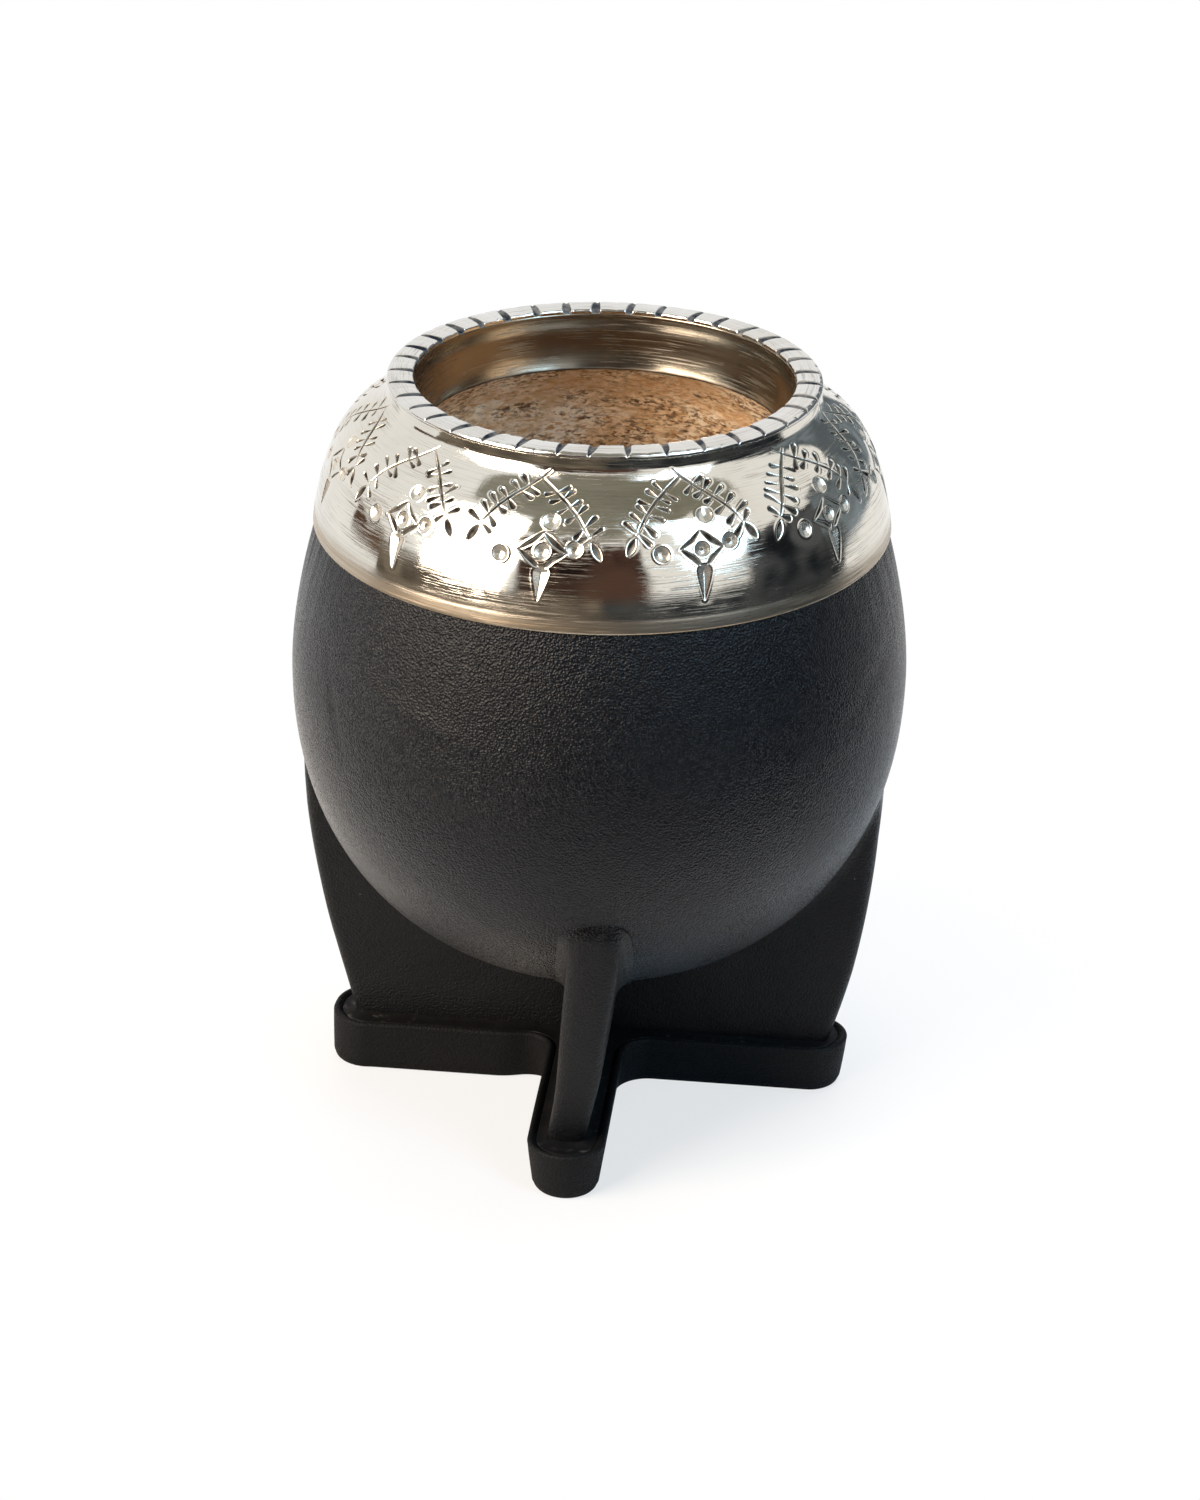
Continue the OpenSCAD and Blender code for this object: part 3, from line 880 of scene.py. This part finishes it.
# %% Path of the cross
def cross_path(inset):
    """The cross, drawn in by inset, anticlockwise: for each arm half an inner corner, one
    side, the round end, the other side and half the next corner."""
    w = arm_r - inset
    c = arm_r + corner_r
    mirror = [1, -1]
    arms = []
    for k, reach in enumerate((reach_side, reach_front, reach_side, reach_front)):
        corner = arc(c, -c, corner_r + inset, 135, 90, 9)
        x = np.linspace(c, reach - arm_r, 30)[1:-1]
        side = np.stack([x, -w + 0 * x], axis=1)
        end = arc(reach - arm_r, 0, w, -90, 90, 28)
        arm = np.vstack([corner, side, end, side[::-1] * mirror, corner[::-1] * mirror])
        arms.append(spun(arm[:-1], k * math.pi / 2))
    return np.vstack(arms)


def left_spread():
    """How far the band stands out further on the left arm: it was cut by hand, a little
    wider at the front and longer than the other arms."""
    out_x, out_y = cross_out.T
    on_arm = eased(ramp(-cross[:, 0], 4.5, 14.5))
    return on_arm * (1.1 * np.clip(-out_y, 0, 1) + 0.6 * np.clip(-out_x, 0, 1))


cross = cross_path(0)
cross_out = path_normals(np.vstack([cross[-1:], cross, cross[:1]]))[1:-1]
print("cross path", len(cross), "points")


# %% Shapes of the foot
band_low_round = 0.8
band_top_round = 0.5
band_wall = 1.45
band_fold = 2.3
band_fold_h = 1.25


def make_band():
    """The band: a closed section of (inset, height) points carried round the cross."""
    face_z = np.linspace(1.1, foot_h - 0.6, 14)
    face = np.stack([-1.0 * (1 - face_z / foot_h) ** 1.25, face_z], axis=1)
    low_round = arc(-1.05 - band_low_round, band_low_round, band_low_round, -90, -10, 9)
    top_z = foot_h - band_top_round
    top_round = arc(-band_top_round, top_z, band_top_round, 0, 140, 10)
    inside = [[-band_wall, top_z], [-band_wall, band_fold_h], [-band_fold, band_fold_h],
              [-band_fold, 0.0]]
    section = np.vstack([low_round, face, top_round, inside])
    out, height = section.T
    wave = smooth_noise(circle_angles(len(cross))[:, None], 0.0, 7.0, 61, 2)
    slant = 1 + 1.1 * (1 - height / foot_h)
    o = (out + 0.07 * wave * ramp(height, 0, 3) * (out > -1.4)
         + left_spread()[:, None] * slant * (out > -2.0))
    z = height + 0.16 * wave[::-1] * ramp(height, 5, 8)
    xy = cross[:, None] + cross_out[:, None] * o[..., None]
    return grid_mesh("foot_band", np.concatenate([xy, z[..., None]], axis=-1),
                     close_i=True, close_j=True)


def make_plate(name, rows, low_z, top_z, lift=None):
    """A plate in the shape of the cross: rows of insets on the underside going outwards and
    on the top going inwards, with a pole in the middle of each."""
    insets = np.concatenate([rows[::-1], rows])
    xy = np.stack([cross_path(inset) for inset in insets], axis=1)
    z = np.repeat([low_z, top_z], len(rows)) + np.zeros(xy.shape[:2])
    if lift is not None:
        xy += cross_out[:, None] * left_spread()[:, None, None] * ramp(insets, 4, 1.8)[:, None]
        top = slice(len(rows), None)
        z[:, top] += lift(xy[:, top, 0], xy[:, top, 1])
    return grid_mesh(name, np.concatenate([xy, z[..., None]], axis=-1), close_i=True,
                     start_pole=(0, 0, low_z), end_pole=(0, 0, top_z))


def paint_lift(x, y):
    """Height of the edge paint on the foot's top: it creeps up where a fin stands, as a
    drop creeps up a wall, and lies unevenly between."""
    fin_half, fin_end = 3.0, 37.6
    x_far, y_far = np.abs(x), np.abs(y)
    near = np.minimum(np.maximum(y_far - fin_half, x_far - fin_end),
                      np.maximum(x_far - fin_half, y_far - fin_end))
    creep = 0.35 * np.exp(-np.maximum(near, 0) / 0.7)
    ripple = 0.10 * smooth_noise(np.arctan2(y, x), np.hypot(x, y), 2.6, 63, 2)
    return creep + ripple * ramp(near, 0, 0.3)


# %% [markdown]
# ## Materials
# Every finish is procedural: noise and cell patterns in the object's own coordinates,
# so nothing slides when the view changes. A small class keeps the node code short:
# `add` makes one node and sets or links its inputs, and `send` links what comes out to
# the end of the tree. Patterns that several finishes share are node groups, built once,
# which put out only masks, heights and colours.

# %% Short calls for nodes
class Graph:
    """A node tree with short calls for making and linking nodes. ends holds the sockets
    that its results go to."""

    def __init__(self, tree, ends=None):
        self.tree, self.ends = tree, ends

    def add(self, kind, inputs=None, **settings):
        """Adds a shader node; each input is a value or another node's output socket."""
        node = self.tree.nodes.new("ShaderNode" + kind)
        for key, value in settings.items():
            setattr(node, key, value)
        for key, value in (inputs or {}).items():
            if isinstance(value, bpy.types.NodeSocket):
                self.tree.links.new(value, node.inputs[key])
            else:
                node.inputs[key].default_value = value
        return node

    def send(self, **results):
        """Links results to the tree's ends; _ stands for the space in a socket's name."""
        for key, value in results.items():
            self.tree.links.new(value, self.ends[key.replace("_", " ")])

    def group(self, name, place, **inputs):
        """Places a shared node group and returns its outputs."""
        tree = bpy.data.node_groups[name]
        return self.add("Group", {"Vector": place, **inputs}, node_tree=tree).outputs

    def object_place(self):
        """The object's own coordinates, in metres."""
        return self.add("TexCoord").outputs["Object"]

    def attribute(self, name):
        """A value that was stored on the mesh's points."""
        return self.add("Attribute", attribute_name=name).outputs["Fac"]

    def math(self, operation, a, b=0.0):
        """One Math node and its value."""
        return self.add("Math", {0: a, 1: b}, operation=operation).outputs[0]

    def plus(self, a, b):
        """a plus b."""
        return self.math("ADD", a, b)

    def times(self, a, b):
        """a times b."""
        return self.math("MULTIPLY", a, b)

    def span(self, value, low, high, to_low=0.0, to_high=1.0):
        """Map Range: value from low..high to to_low..to_high, held at the ends."""
        return self.add("MapRange", {"Value": value, "From Min": low, "From Max": high,
                                     "To Min": to_low, "To Max": to_high}).outputs[0]

    def noise(self, place, scale, detail=3.0, roughness=0.5, distortion=0.0):
        """A Noise texture's value. Three scales stretch it along X, Y and Z."""
        if isinstance(scale, tuple):
            place = self.add("Mapping", {"Vector": place, "Scale": scale}).outputs[0]
            scale = 1.0
        return self.add("TexNoise", {"Vector": place, "Scale": scale, "Detail": detail,
                                     "Roughness": roughness,
                                     "Distortion": distortion}).outputs["Fac"]

    def blend(self, share, a, b, most=None):
        """Colour a where share is 0 and colour b where it is 1, or b's part most at most."""
        share = share if most is None else self.times(share, most)
        return self.add("Mix", {0: share, 6: a, 7: b}, data_type="RGBA").outputs[2]

    def bump(self, height, height_mm):
        """A Bump node's normal; height_mm is how high 1 stands."""
        return self.add("Bump", {"Height": height, "Distance": height_mm * MM,
                                 "Strength": 1.0}).outputs[0]


def tone(red, green, blue):
    """A colour as an editor shows it, 0 to 255, in the linear values of a shader."""
    c = np.array([red, green, blue]) / 255
    linear = np.where(c <= 0.04045, c / 12.92, ((c + 0.055) / 1.055) ** 2.4)
    return (*linear.tolist(), 1.0)


def new_material(name, display, **values):
    """A material with a Principled BSDF whose plain values are set on its own sockets, and
    the graph that feeds it."""
    material = bpy.data.materials.new(name)
    material.use_nodes = True
    material.diffuse_color = display
    sockets = material.node_tree.nodes["Principled BSDF"].inputs
    for key, value in {"Base_Color": display, **values}.items():
        sockets[key.replace("_", " ")].default_value = value
    return material, Graph(material.node_tree, sockets)


def new_group(name, outputs, **inputs):
    """A node group with a Vector input, float outputs and more inputs with the values that
    they have unless a material gives others. Returns its graph and its inputs."""
    tree = bpy.data.node_groups.new(name, "ShaderNodeTree")
    tree.interface.new_socket("Vector", in_out="INPUT", socket_type="NodeSocketVector")
    for label, value in inputs.items():
        socket = tree.interface.new_socket(label, in_out="INPUT", socket_type="NodeSocketFloat")
        socket.default_value = value
    for label in outputs:
        tree.interface.new_socket(label, in_out="OUTPUT", socket_type="NodeSocketFloat")
    given, ends = tree.nodes.new("NodeGroupInput"), tree.nodes.new("NodeGroupOutput")
    return Graph(tree, ends.inputs), given.outputs


# %% Shared node groups
grain_per_m = 3000.0
specks_per_m = 520.0
speck_share = 0.05
speck_r = 0.055

g, given = new_group("leather grain", ["Height", "Pores", "Patches"])
place = given["Vector"]
wobble = g.add("TexNoise", {"Vector": place, "Scale": 420.0, "Detail": 2.0}).outputs["Color"]
shift = g.add("VectorMath", {0: wobble, "Scale": 0.00025}, operation="SCALE").outputs[0]
bent = g.add("VectorMath", {0: place, 1: shift}, operation="ADD").outputs[0]
pebble = g.add("TexVoronoi", {"Vector": bent, "Scale": grain_per_m, "Smoothness": 0.6},
               feature="SMOOTH_F1").outputs["Distance"]
height = g.plus(g.times(g.span(pebble, 0.1, 0.75, 1.0, 0.0), 0.6),
                g.times(g.noise(bent, 1.5 * grain_per_m), 0.5))
g.send(Height=g.plus(height, g.times(g.noise(place, 260.0), 0.9)),
       Pores=g.span(pebble, 0.45, 0.7),
       Patches=g.span(g.noise(place, 45.0, 3.0, 0.6), 0.3, 0.7))

g, given = new_group("dust specks", ["Mask"])
dot = g.add("TexVoronoi", {"Vector": given["Vector"], "Scale": specks_per_m}).outputs
chance = g.add("SeparateColor", {0: dot["Color"]}).outputs[0]
g.send(Mask=g.times(g.math("LESS_THAN", chance, speck_share),
                    g.math("LESS_THAN", dot["Distance"], speck_r)))

g, given = new_group("turning marks", ["Lines", "Scratches", "Cloud"], Fineness=1.0)
place = given["Vector"]
scaled = g.add("VectorMath", {0: place, "Scale": given["Fineness"]}, operation="SCALE")
x, y, z = g.add("SeparateXYZ", {0: scaled.outputs[0]}).outputs
radius = g.math("SQRT", g.plus(g.times(x, x), g.times(y, y)))
round_about = g.add("CombineXYZ", {0: x, 1: y, 2: g.math("SUBTRACT", z, radius)}).outputs[0]
streak = g.noise(round_about, (110.0, 110.0, 4200.0), 3.0, 0.6)
g.send(Lines=g.noise(round_about, (40.0, 40.0, 3300.0), 5.0, 0.75),
       Scratches=g.times(g.span(streak, 0.53, 0.66), g.span(g.noise(place, 90.0), 0.40, 0.58)),
       Cloud=g.span(g.noise(place, 60.0, 4.0, 0.6), 0.3, 0.7))
print("node groups:", [group.name for group in bpy.data.node_groups])


# %% [markdown]
# ## Leather and edge paint
# Black leather is never pure black: its dyed face is a dark blue grey, with a fine
# pebbled grain whose tops shine and whose pores stay matt. The body, the fins and the
# band are the same hide, so one function makes all of them with other values. The
# edge paint on the foot lies thick and lumpy and dries nearly matt.

# %% Leather materials
def make_leather(name, deep, worn, grain_mm, roughness, specular, glue_and_shade=False):
    """Black leather: deep and worn are the colours of its face and of rubbed patches, and
    grain_mm is the height of the grain. The last argument makes darker and glossier what
    the mesh marks near a joint: glue there, and painted shade in the corner."""
    material, g = new_material(name, deep, Specular_IOR_Level=specular)
    place = g.object_place()
    grain = g.group("leather grain", place)
    specks = g.group("dust specks", place)["Mask"]
    rubbed = g.times(grain["Patches"], g.span(grain["Height"], 0.8, 1.25))
    colour = g.blend(rubbed, deep, worn, 0.55)
    colour = g.blend(grain["Pores"], colour, tone(12, 12, 14), 0.5)
    rough = g.span(grain["Patches"], 0.0, 1.0, roughness + 0.05, roughness - 0.06)
    rough = g.plus(rough, g.times(grain["Pores"], 0.12))
    if glue_and_shade:
        # Darker and glossier where the mesh is marked: glue at the joint and painted shade in
        # the corner.
        uneven = g.span(g.noise(place, 300.0), 0.3, 0.55, 0.35, 1.0)
        dark = g.times(g.span(g.attribute("glue_and_shade"), 0.6, 0.95), uneven)
        colour = g.blend(dark, colour, tone(3, 4, 6), 0.85)
        rough = g.plus(rough, g.times(dark, -0.26))
    colour = g.blend(specks, colour, tone(120, 118, 112), 0.6)
    g.send(Base_Color=colour, Roughness=rough, Normal=g.bump(grain["Height"], grain_mm))
    return material


body_leather_look = make_leather("black leather, body", tone(5, 7, 11), tone(13, 15, 19),
                                 0.17, 0.265, 0.21)
fin_leather_look = make_leather("black leather, fins", tone(7, 8, 10), tone(16, 17, 19),
                                0.13, 0.44, 0.18, glue_and_shade=True)
band_leather_look = make_leather("black leather, band", tone(8, 9, 10), tone(17, 17, 18),
                                 0.12, 0.60, 0.12)
sole_look = make_leather("brown black leather, sole", tone(40, 34, 30), tone(70, 60, 52),
                         0.06, 0.7, 0.12)

edge_paint_look, g = new_material("black edge paint", tone(9, 9, 10), Specular_IOR_Level=0.14)
place = g.object_place()
lumps = g.noise(place, 320.0, 4.0, 0.55)
scuffs = g.times(g.span(g.noise(place, 900.0), 0.58, 0.7),
                 g.span(g.noise(place, 70.0, 2.0), 0.5, 0.62))
g.send(Base_Color=g.blend(scuffs, tone(9, 9, 10), tone(90, 88, 84), 0.35),
       Roughness=g.span(lumps, 0.3, 0.7, 0.5, 0.75), Normal=g.bump(lumps, 0.22))
print("leathers made")


# %% [markdown]
# ## Nickel silver
# The ferrule is nickel silver, a white alloy that looks slightly yellow beside pure
# silver. It was turned and polished on a lathe, so its finest marks run round the
# axis: noise that is stretched about eighty times more round than up gives such lines.
# The chased valleys get painted shade: a dark colour that hardly mirrors. The hem is
# brushed, and its beige is partly tarnish and partly painted reflection.

# %% Metal materials
def make_metal(name, colour, low_rough, high_rough, line_mm, brushed_below=None, cut_shade=None,
               darker_below=None):
    """Turned nickel silver: roughness between two values, lines of line_mm, the colour of the
    painted shade in the cuts, a brushed zone under brushed_below whose beige is tarnish and
    painted reflection, and a band under the height given last that darkens towards the lower
    edge."""
    material, g = new_material(name, colour, Metallic=1.0, Specular_IOR_Level=0.06)
    place = g.object_place()
    marks = g.group("turning marks", place)
    lines, scratches, cloud = marks["Lines"], marks["Scratches"], marks["Cloud"]
    rough = g.plus(g.span(lines, 0.3, 0.7, low_rough, high_rough), g.times(scratches, 0.26))
    tint = g.blend(cloud, colour, tone(196, 186, 168), 0.35)
    tint = g.blend(scratches, tint, tone(132, 122, 108), 0.6)
    tint = g.blend(g.span(lines, 0.52, 0.72, 0.0, 0.4), tint, tone(172, 166, 154))
    if cut_shade:
        # Painted shade in the cuts: where the mask is full, the colour turns dark, rougher and
        # hardly mirroring.
        uneven = g.span(g.noise(place, 500.0), 0.25, 0.6, 0.8, 1.0)
        deep = g.times(g.span(g.attribute("chased"), 0.1, 0.7), uneven)
        tint = g.blend(deep, tint, cut_shade)
        rough = g.plus(rough, g.times(deep, 0.3))
        g.send(Metallic=g.span(deep, 0.0, 1.0, 1.0, 0.3))
    z = g.add("SeparateXYZ", {0: place}).outputs[2]
    if brushed_below is not None:
        # The hem is brushed, and its beige is tarnish and a painted reflection of a tabletop.
        edge = g.plus(z, g.times(cloud, 0.5 * MM))
        hem = g.span(edge, (brushed_below - 0.5) * MM, (brushed_below + 1.8) * MM, 1.0, 0.0)
        rough = g.plus(rough, g.times(hem, g.span(lines, 0.3, 0.7, 0.20, 0.36)))
        tint = g.blend(g.times(hem, g.span(lines, 0.35, 0.65, 0.45, 1.0)), tint,
                       tone(158, 140, 116))
    if darker_below is not None:
        # Darker towards the lower edge: a dark brown band.
        edge = g.plus(z, g.times(g.noise(place, 420.0), 0.5 * MM))
        worn = g.span(edge, (darker_below + 0.35) * MM, (darker_below + 0.75) * MM, 1.0, 0.0)
        rough = g.plus(rough, g.times(worn, 0.3))
        tint = g.blend(worn, tint, tone(58, 46, 36), 0.9)
    g.send(Base_Color=tint, Roughness=rough,
           Normal=g.bump(g.plus(lines, g.times(scratches, -0.8)), line_mm))
    return material


# The dark tones given for the cuts of the shoulder and the rim are painted shade.
shoulder_look = make_metal("polished nickel silver", tone(230, 226, 216), 0.03, 0.10, 0.007,
                           brushed_below=ferrule_z + hem_h, cut_shade=tone(34, 29, 24))
rim_look = make_metal("nickel silver rim", tone(228, 227, 224), 0.10, 0.18, 0.003,
                      cut_shade=tone(22, 28, 36))
throat_look = make_metal("turned nickel silver throat", tone(124, 116, 104), 0.14, 0.28, 0.009,
                         darker_below=throat_low_z - 0.25)
print("metals made")


# %% [markdown]
# ## Calabash and wood
# Inside the mouth the dry calabash shows short fibres that run round, pale where the
# lining was scraped and dark brown where it was left.

# %% Calabash, wood and steel
calabash_look, g = new_material("calabash", tone(160, 110, 66), Specular_IOR_Level=0.25)
place = g.object_place()
fibres = g.noise(place, (420.0, 420.0, 1500.0), 5.0, 0.65, 0.4)
flakes = g.noise(place, (620.0, 620.0, 1300.0), 4.0, 0.6, 0.5)
stain = g.noise(place, (120.0, 120.0, 240.0), 4.0, 0.6)
pits = g.noise(place, (850.0, 850.0, 1700.0), 4.0, 0.7, 0.4)
pale = g.times(g.span(g.noise(place, 75.0, 3.0, 0.55), 0.47, 0.54), g.span(flakes, 0.40, 0.50))
dark = g.times(g.span(pits, 0.48, 0.56), g.span(stain, 0.58, 0.46, 0.15, 1.0))
colour = g.blend(g.span(flakes, 0.36, 0.64), tone(196, 154, 106), tone(246, 220, 184))
colour = g.blend(g.span(stain, 0.5, 0.62, 0.0, 0.5), colour, tone(188, 134, 84))
colour = g.blend(pale, colour, tone(246, 232, 208), 0.95)
colour = g.blend(dark, colour, tone(84, 50, 30), 0.95)
colour = g.blend(g.span(fibres, 0.42, 0.7, 0.0, 0.5), colour, tone(238, 212, 176))
g.send(Base_Color=colour, Roughness=g.span(fibres, 0.3, 0.7, 0.92, 0.7),
       Normal=g.bump(g.plus(fibres, flakes), 0.30))

wood_look, g = new_material("plain wood", tone(176, 138, 96), Specular_IOR_Level=0.35)
place = g.object_place()
rings = g.noise(place, (60.0, 400.0, 400.0), 4.0, 0.6, 1.2)
pores = g.span(g.noise(place, (150.0, 2400.0, 2400.0), 2.0), 0.6, 0.7)
colour = g.blend(g.span(rings, 0.35, 0.65), tone(150, 110, 72), tone(192, 154, 110))
g.send(Base_Color=g.blend(pores, colour, tone(96, 64, 40), 0.5),
       Roughness=g.span(rings, 0.3, 0.7, 0.7, 0.55), Normal=g.bump(rings, 0.1))

steel_look, g = new_material("screw steel", tone(150, 148, 144), Metallic=1.0)
marks = g.group("turning marks", g.object_place(), Fineness=0.7)
g.send(Base_Color=g.blend(marks["Cloud"], tone(150, 148, 144), tone(120, 112, 100)),
       Roughness=g.span(marks["Lines"], 0.3, 0.7, 0.28, 0.42))
print("calabash, wood and steel made")


# %% [markdown]
# ## Putting the pieces together
# Each piece gets its material, rides on the one body of the cup and replaces the CAD
# node it stands for. The side board, the core and the screws lie hidden inside, so their
# CAD shapes stay and only get a material.

# %% Make the pieces
def seat(obj, material, node):
    """Gives a finished piece its material and slot, and says what it rides and replaces."""
    obj.data.materials.append(material)
    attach(obj, "root")
    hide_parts(node)


for piece in make_shoulder():
    seat(piece, shoulder_look, "ferrule_shoulder")
seat(make_rim(), rim_look, "ferrule_rim")
seat(make_throat(), throat_look, "ferrule_throat")
seat(make_gourd(), calabash_look, "gourd_shell")
seat(make_body_leather(), body_leather_look, "body_leather")

# %% Make fins and foot
side_root = 2.2
front_root = 3.4
for name, turn, root, seed, push in (("right", 0.0, side_root, 71, -0.7),
                                     ("back", math.pi / 2, front_root, 72, 0.0),
                                     ("left", math.pi, side_root, 73, 0.6),
                                     ("front", -math.pi / 2, front_root, 74, 0.0)):
    skin = make_fin("fin_skin_" + name, turn, root, seed, int(name == "front"), push)
    seat(skin, fin_leather_look, "fin_leather_" + name)
seat(make_board(), wood_look, "fin_board_front")

paint_rows = 1.43 + np.array([0.0, 0.15, 0.35, 0.6, 0.8, 1.0, 1.15, 1.3, 1.45, 1.6, 1.8, 2.2,
                              3.2, 4.3])
sole_rows = np.array([2.45, 3.2, 4.4, 5.6])
seat(make_band(), band_leather_look, "foot_edge_band")
seat(make_plate("foot_paint", paint_rows, foot_h - 1.4, foot_h - 0.42, paint_lift),
     edge_paint_look, "foot_top_leather")
seat(make_plate("sole_skin", sole_rows, 0.0, 1.2), sole_look, "foot_sole")

# %% Materials of the CAD nodes that stay
for node, look in (("fin_board_side", wood_look), ("foot_core", wood_look),
                   ("foot_screws", steel_look)):
    kept = [o for o in bpy.data.objects if o.type == "MESH" and o.name.split(".")[0] == node]
    for obj in kept:
        for slot in obj.material_slots:
            slot.material = look
    print(node, len(kept), "object")


# %% [markdown]
# ## Studio
# A white floor and a white surrounding, as on a product page. The light is soft: a
# large warm panel at the upper left, a weaker cool one at the right and a neutral one
# high up at the back. To the camera and to mirror rays the surroundings are plain
# white, but they light the cup only faintly, so the lamps give it its form. What
# polished metal mirrors is set with cards round the cup, as a photographer does.

# %% Floor
plain_white = (1.0, 1.0, 1.0, 1.0)
floor_half = 3000.0
u = np.linspace(-floor_half, floor_half, 3)
floor = grid_mesh("floor", np.stack(np.meshgrid(u, u, [0.0], indexing="ij"), axis=-1)[:, :, 0])
floor_look, g = new_material("white floor", (0.68, 0.68, 0.68, 1.0), Roughness=0.9,
                             Specular_IOR_Level=0.1)
path = g.add("LightPath").outputs
mirrored = g.math("MAXIMUM", path["Is Glossy Ray"], path["Is Transmission Ray"])
away = g.add("VectorMath", {0: g.object_place()}, operation="LENGTH").outputs["Value"]
share = g.math("MAXIMUM", g.times(path["Is Camera Ray"], g.span(away, 0.04, 0.095, 0.68, 1.0)),
               g.times(mirrored, g.span(away, 0.12, 0.26)))
white = g.add("Emission", {"Color": plain_white, "Strength": 1.0}).outputs[0]
matt = g.tree.nodes["Principled BSDF"].outputs[0]
mixed = g.add("MixShader", {0: share, 1: matt, 2: white}).outputs[0]
g.tree.links.new(mixed, g.tree.nodes["Material Output"].inputs["Surface"])
floor.data.materials.append(floor_look)

# %% World
world = bpy.data.worlds.new("studio")
bpy.context.scene.world = world
world.use_nodes = True
world.node_tree.nodes.clear()
g = Graph(world.node_tree)
path = g.add("LightPath").outputs
direct = g.add("Background", {"Color": plain_white, "Strength": 1.0}).outputs[0]
soft = g.add("Background", {"Color": (0.92, 0.96, 1.0, 1.0), "Strength": 0.20}).outputs[0]
seen = g.math("MAXIMUM", g.math("MAXIMUM", path["Is Camera Ray"], path["Is Glossy Ray"]),
              path["Is Transmission Ray"])
both = g.add("MixShader", {0: seen, 1: soft, 2: direct}).outputs[0]
g.add("OutputWorld", {"Surface": both})


# %% Lamps and cards
panel_distance = 850
lamp_aim_z = 100
# Name: direction, elevation, width and height, power and colour of each lamp.
panels = {
    "warm panel": (-140, 27, (560, 820), 19.0, (1.0, 0.85, 0.70)),
    "cool panel": (-40, 36, (300, 640), 5.0, (0.44, 0.74, 1.0)),
    "top panel": (70, 72, (700, 500), 8.5, (1.0, 1.0, 1.0)),
}
# Name: directions from and to, (radius, height) points, dark and pale tone, and the size
# of the cloudy pattern between them.
table = [(120, 3), (700, 3), (745, 120)]
cards = {
    "card behind the camera": ((-117, -66), [(760, 4), (760, 540)],
                               (0.010, 0.007, 0.006), (0.10, 0.055, 0.040), 260),
    "card over the camera": ((-119, -64), [(760, 640), (430, 900)],
                             (0.235, 0.228, 0.192), (0.41, 0.395, 0.335), 300),
    "card on the right": ((-27, 14), [(800, 4), (800, 430)],
                          (0.012, 0.014, 0.018), (0.10, 0.105, 0.115), 220),
    "grey card": ((14, 78), [(800, 4), (800, 560)],
                  (0.112, 0.136, 0.155), (0.255, 0.305, 0.345), 300),
    "card on the left": ((162, 184), [(820, 4), (820, 150)],
                         (0.10, 0.055, 0.035), (0.22, 0.16, 0.12), 260),
    "card on the table": ((-178, -84), table, (0.09, 0.075, 0.058), (0.24, 0.20, 0.155), 120),
    "dark card on the table": ((-84, 20), table,
                               (0.010, 0.014, 0.018), (0.070, 0.075, 0.078), 120),
    "card over the cup": ((0, 360), [(5, 900), (430, 900)],
                          (0.22, 0.215, 0.17), (0.30, 0.29, 0.245), 500),
}


def add_panel(name, azimuth, elevation, size, power, colour):
    """A soft rectangular lamp in a direction from the ferrule, turned towards it. Angles
    in degrees, sizes in millimetres."""
    data = bpy.data.lights.new(name, "AREA")
    data.shape = "RECTANGLE"
    data.size, data.size_y = size[0] * MM, size[1] * MM
    data.energy = power
    data.color = colour
    a, e = math.radians(azimuth), math.radians(elevation)
    aim = -Vector((math.cos(e) * math.cos(a), math.cos(e) * math.sin(a), math.sin(e)))
    where = (Vector((0, 0, lamp_aim_z)) - aim * panel_distance) * MM
    lamp = put(name, data)
    facing = aim.to_track_quat("-Z", "Y").to_matrix().to_4x4()
    lamp.matrix_world = Matrix.Translation(where) @ facing
    return lamp


def add_card(name, azimuths, corners, dark, pale, size):
    """A card that only mirror rays meet, turned from a path of corners, with cloudy tones
    that glow as a lit wall would."""
    a = np.radians(np.linspace(azimuths[1], azimuths[0], 49))
    card = grid_mesh(name, turned(a, *resampled(np.array(corners, float), 12).T))
    material = bpy.data.materials.new(name)
    material.use_nodes = True
    material.node_tree.nodes.clear()
    g = Graph(material.node_tree)
    clouds = g.span(g.noise(g.object_place(), 1000.0 / size, 4.0), 0.42, 0.58)
    colour = g.blend(clouds, (*dark, 1.0), (*pale, 1.0))
    glow = g.add("Emission", {"Color": colour, "Strength": 1.0}).outputs[0]
    g.add("OutputMaterial", {"Surface": glow})
    card.data.materials.append(material)
    card.visible_camera = card.visible_diffuse = card.visible_shadow = False
    card.visible_transmission = card.visible_volume_scatter = False


for name, values in cards.items():
    add_card(name, *values)
lamps = {name: add_panel(name, *values) for name, values in panels.items()}
lamps["top panel"].visible_glossy = False
bpy.context.scene.view_settings.view_transform = "Standard"
print("studio ready")
